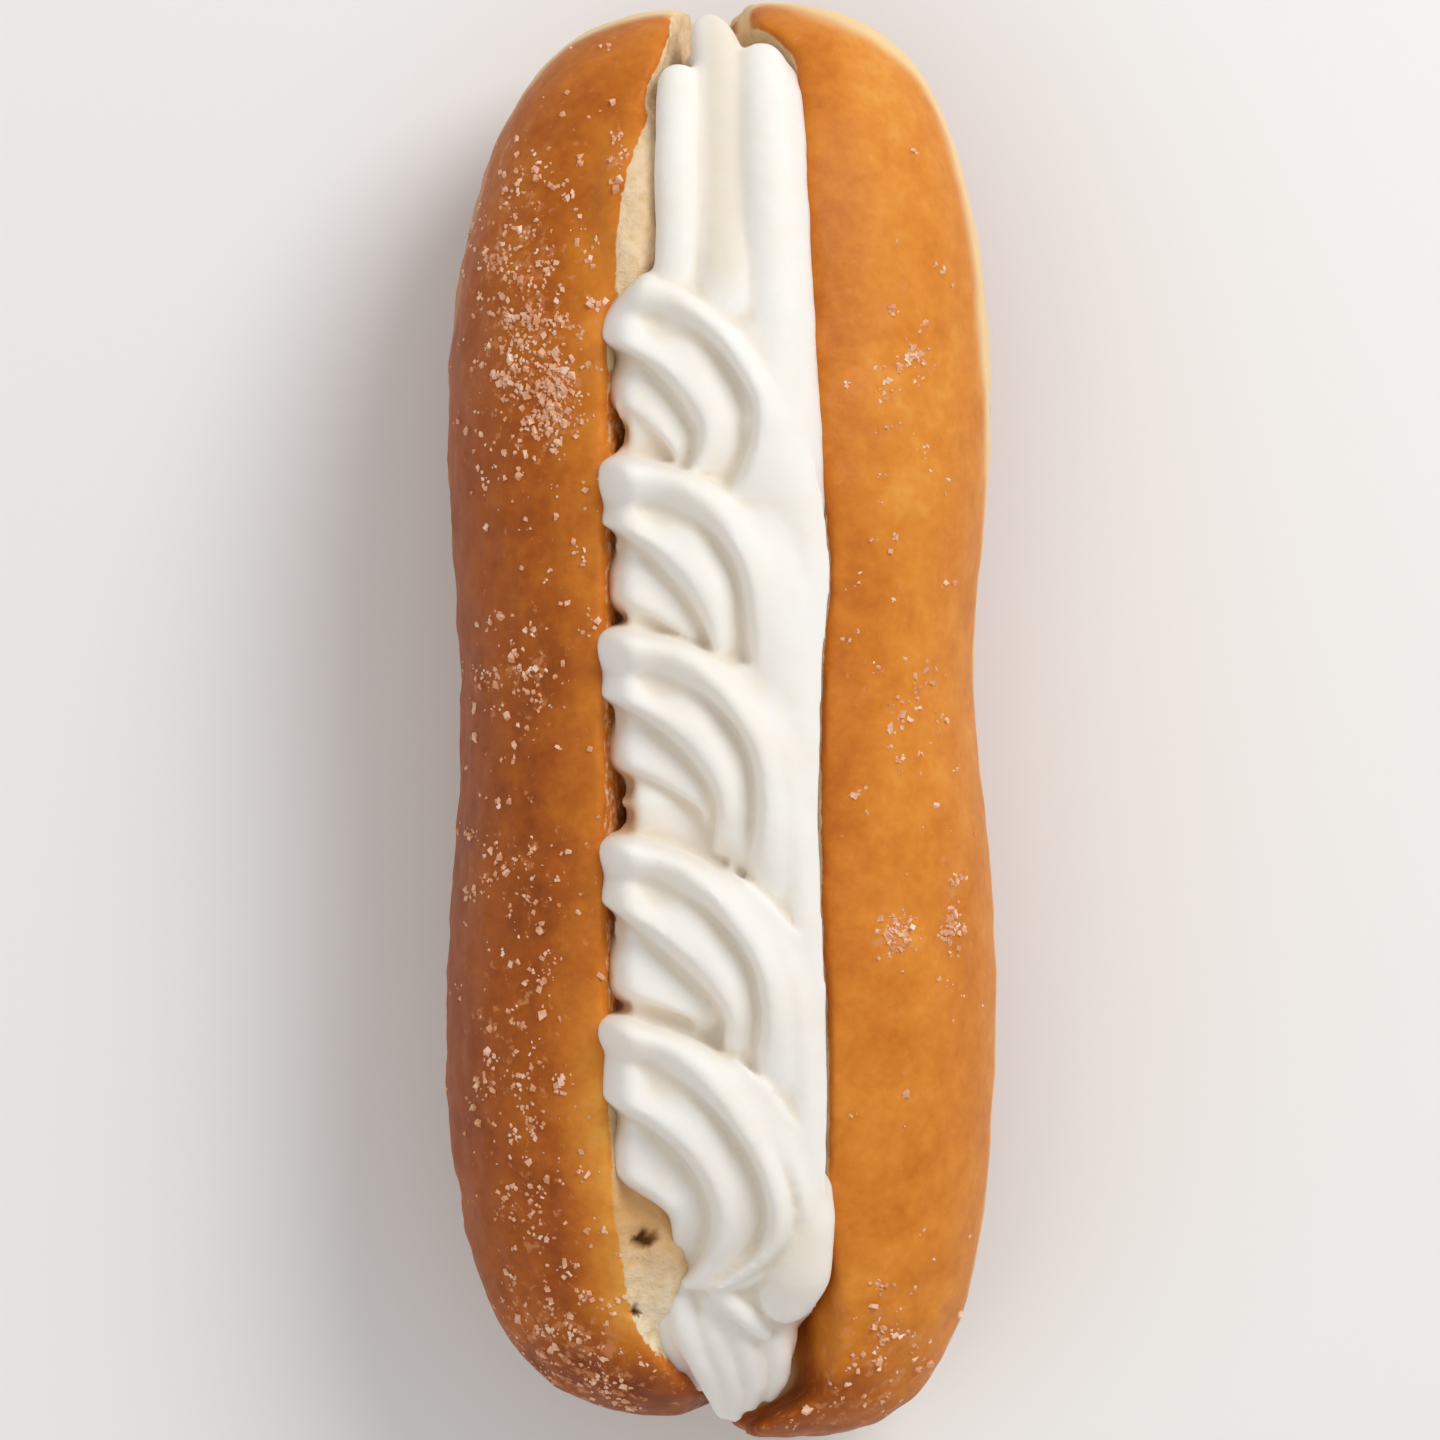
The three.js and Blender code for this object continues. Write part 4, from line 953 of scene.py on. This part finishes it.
def crumb_share(y, z, off_cut, off_middle):
    below = CUT_EDGE_Z - crown_fall(y) - z
    rolled = np.where(off_middle < 0, LEFT_ROLL + waves(y, LEFT_ROLL_WAVES), RIGHT_ROLL)
    share = smooth_step(*CRUMB_OFF_CUT, off_cut) * (z > CRUMB_ABOVE_Z)
    share *= smooth_step(rolled - ROLL_BLUR, rolled + ROLL_BLUR, below)
    at_ends = smooth_step(*END_CRUMB_OFF_CUT, off_cut) * smooth_step(*END_CRUMB_Y, np.abs(y))
    share = np.maximum(share, at_ends)
    share *= 1 + steps(y, CRUMB_STEPS)
    share *= 1 + steps(np.abs(y), LEFT_CRUMB_STEPS) * (off_middle < 0)
    share *= 1 + steps(y, RIGHT_CRUMB_STEPS) * (off_middle > 0)
    return share


def ring_top_at(points):
    x, y, _ = points.T
    crown_share = 1 - crown_fall(y) / CROWN_RISE
    right_top = WIDEST_Z + (RIGHT_RING_RISE + steps(y, RIGHT_RING_STEPS)) * crown_share
    right_top += steps(y, RIGHT_RING_END_STEPS)
    left_top = LEFT_RING_Z + LEFT_RING_SLOPE * y + steps(y, LEFT_RING_STEPS)
    return mix(left_top, right_top, smooth_step(*RING_CROSSES_X, x)) + relief(points, RING_NOISE)


def ring_share(x, y, over_ring):
    share = smooth_step(*RING_UPPER_EDGE, over_ring) * smooth_step(*RING_LOWER_EDGE, over_ring)
    on_left = LEFT_RING_SHARE + steps(y, LEFT_RING_SHARE_STEPS)
    return share * mix(on_left, 1.0, smooth_step(*RING_CROSSES_X, x))


def browning_and_light_share(x, y, over_ring, off_cut, off_middle):
    # partly browning and partly painted light and shade: the left half darker, lighter near its cut, the
    # right half lighter away from its cut
    left = mix(LEFT_NEAR + steps(y, LEFT_NEAR_STEPS), LEFT_FAR, smooth_step(*LEFT_FAR_OFF_CUT, off_cut))
    left += steps(y, LEFT_STEPS) + steps(x, LEFT_SIDE_STEPS)
    right_near = RIGHT_NEAR + steps(y, RIGHT_NEAR_STEPS)
    right_far = RIGHT_FAR + steps(y, RIGHT_FAR_STEPS)
    right = mix(right_near, right_far, smooth_step(*RIGHT_FAR_OFF_CUT, off_cut))
    share = np.where(off_middle < 0, left, right)
    # the lower end is darker: partly browning, partly painted shade
    tip = np.where(x < 0, LEFT_TIP, RIGHT_TIP)
    share = mix(share, tip, np.where(x < 0, smooth_step(*LEFT_TIP_Y, y), smooth_step(*RIGHT_TIP_Y, y)))
    lip = smooth_step(*RIGHT_LIP_Y, y) * smooth_step(*RIGHT_LIP_X, x) * (off_middle > 0)
    return mix(mix(share, RIGHT_LIP, lip), UNDERSIDE, smooth_step(*UNDERSIDE_FROM, over_ring))


def veil_and_shade_share(x, y, off_cut, off_middle):
    share = np.where(x < 0, steps(x, LEFT_VEIL_STEPS), steps(x, RIGHT_VEIL_STEPS))
    share *= 1 + steps(y, VEIL_STEPS)
    # on the cut face at the lower right this tone is painted shade, not sugar
    shade_in_cut = steps(y, CUT_SHADE_STEPS) * smooth_step(*CUT_SHADE_OFF_CUT, off_cut) * (off_middle > 0)
    return np.maximum(share, shade_in_cut)


def sugary_share(x, y, z):
    total = np.zeros_like(x)
    for at_x, at_y, spread_x, spread_y, clumps, grains in SUGAR_PATCHES:
        density = clumps * (1 + grains) / (spread_x * spread_y)
        total += density * np.exp(-((x - at_x) / spread_x) ** 2 / 2 - ((y - at_y) / spread_y) ** 2 / 2)
    return SUGAR_FILM * np.clip(total / SUGAR_FULL + steps(y, SUGAR_END_STEPS), 0, 1) * (z > SUGAR_ABOVE_Z)


def pit_share(points):
    x, y, z = points.T
    share = np.zeros_like(x)
    for at_x, at_y, radius in CRUMB_PITS:
        off = (np.hypot(x - at_x, y - at_y) + relief(points, PIT_NOISE)) / radius
        share = np.maximum(share, smooth_step(*PIT_RIM, off) * (z > PIT_ABOVE_Z))
    return share


def dress_dough(crust):
    """Stores where the crust is brown, pale or torn, with painted light and shade in the brown, and gives
    crust and crumb their fine relief.
    """
    points = points_of(crust)
    x, y, z = points.T
    off_middle = x - cut_middle(y)
    off_cut = np.abs(off_middle) - cut_half_width(y, np.maximum(z, HINGE_Z))
    over_ring = z - ring_top_at(points)
    crumb = crumb_share(y, z, off_cut, off_middle)
    pits = pit_share(points)
    store(crust, "crumb", crumb)
    store(crust, "ring", ring_share(x, y, over_ring))
    store(crust, "baked", browning_and_light_share(x, y, over_ring, off_cut, off_middle))
    store(crust, "veil", veil_and_shade_share(x, y, off_cut, off_middle))
    store(crust, "sugary", sugary_share(x, y, z))
    store(crust, "toasted", waves(y, TOASTED_WAVES) + steps(y, TOASTED_STEPS))
    store(crust, "pits", pits)
    more = np.maximum(smooth_step(*WRINKLED_X, x), smooth_step(*WRINKLED_Y, y))
    rise = mix(relief(points, WRINKLES) * (1 + more), relief(points, TEARS), crumb) * (z > FLAT_SPOT_Z)
    points = points + normals_of(crust) * rise[:, None]
    points[:, 0] += CENTRING_X
    points[:, 2] = np.maximum(points[:, 2] - PIT_DEPTH * pits, 0)
    set_points(crust, points)


def dress_cream(cream):
    """Stores where crumb is mixed into the cream with painted shade, and where painted shade darkens it, and
    gives it its soft unevenness.
    """
    points = points_of(cream)
    x, y, z = points.T
    # low cream by the left wall gets crumb colour, painted shade and painted warm bounce light
    stain = steps(CUT_EDGE_Z - crown_fall(y) - z, STAIN_AND_SHADE_STEPS) * (np.abs(y) < STAIN_AND_SHADE_SPAN)
    store(cream, "stain", stain * smooth_step(*STAIN_AND_SHADE_OFF_MIDDLE, x - cut_middle(y)))
    # painted shade goes into the hollows and the low valley between the upper ropes, less of it at the tail,
    # and onto the lower lobe
    valley_shade = smooth_step(*VALLEY_HALF, np.abs(x - VALLEY_X)) * smooth_step(*VALLEY_Y, y)
    deep = np.maximum(steps(hollows_of(cream), HOLLOW_SHADE_STEPS), valley_shade) * (1 + steps(y, TAIL_SHADE_STEPS))
    store(cream, "deep", np.maximum(deep, waves(x, LOBE_SHADE_WAVES_X) * waves(y, LOBE_SHADE_WAVES_Y)))
    points = points + normals_of(cream) * relief(points, UNEVEN_CREAM)[:, None]
    points[:, 0] += CENTRING_X
    set_points(cream, points)


# Build

crust = doughnut_dough()
dress_dough(crust)
cream = piped_cream()
dress_cream(cream)
crust.data.shade_smooth()
cream.data.shade_smooth()
sugar = sugar_grains(crust)

give(crust, fried_crust())
give(cream, whipped_cream())
give(sugar, sugar_crystal())

for piece, slot_name in ((crust, "crust"), (cream, "cream"), (sugar, "crust")):
    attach(piece, "root")
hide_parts("dough")
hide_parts("cream")

# Floor, light and camera, in metres

FLOOR_SIZE = 4.0
KEY_LIGHT = dict(place=(0.55, 0.55, 0.75), size=0.55, power=6.0)
FILL_LIGHT = dict(place=(-0.7, -0.4, 0.9), size=0.9, power=1.4)
LIT_PLACE = (0, 0, 0.03)
SKY_STRENGTH = 0.50
FRAME_WIDTH = 0.1656  # of the table, across the picture
FRAME_Z = 0.020  # the height at which the picture is that wide
LENS = 200.0  # millimetres, as the next
SENSOR = 36.0

bpy.ops.object.select_all(action="DESELECT")
bpy.ops.mesh.primitive_plane_add(size=FLOOR_SIZE, location=(0, 0, 0))
floor = bpy.context.object
floor.name = "floor"
give(floor, pale_board())


def soft_light(name, place, size, power):
    light = bpy.data.lights.new(name, "AREA")
    light.shape = "DISK"
    light.size = size
    light.energy = power
    lamp = bpy.data.objects.new(name, light)
    lamp.location = place
    lamp.rotation_euler = (Vector(LIT_PLACE) - Vector(place)).to_track_quat("-Z", "Y").to_euler()
    bpy.context.scene.collection.objects.link(lamp)


soft_light("key", **KEY_LIGHT)
soft_light("fill", **FILL_LIGHT)

world = bpy.data.worlds.new("pale_studio")
world.use_nodes = True
world.node_tree.nodes["Background"].inputs["Color"].default_value = (1, 1, 1, 1)
world.node_tree.nodes["Background"].inputs["Strength"].default_value = SKY_STRENGTH
bpy.context.scene.world = world
bpy.context.scene.view_settings.view_transform = "Standard"

camera_data = bpy.data.cameras.new("camera")
camera_data.lens = LENS
camera_data.sensor_width = SENSOR
camera = bpy.data.objects.new("camera", camera_data)
camera.location = (CENTRING_X / 1000, 0, FRAME_Z + FRAME_WIDTH * LENS / SENSOR)
bpy.context.scene.collection.objects.link(camera)
bpy.context.scene.camera = camera
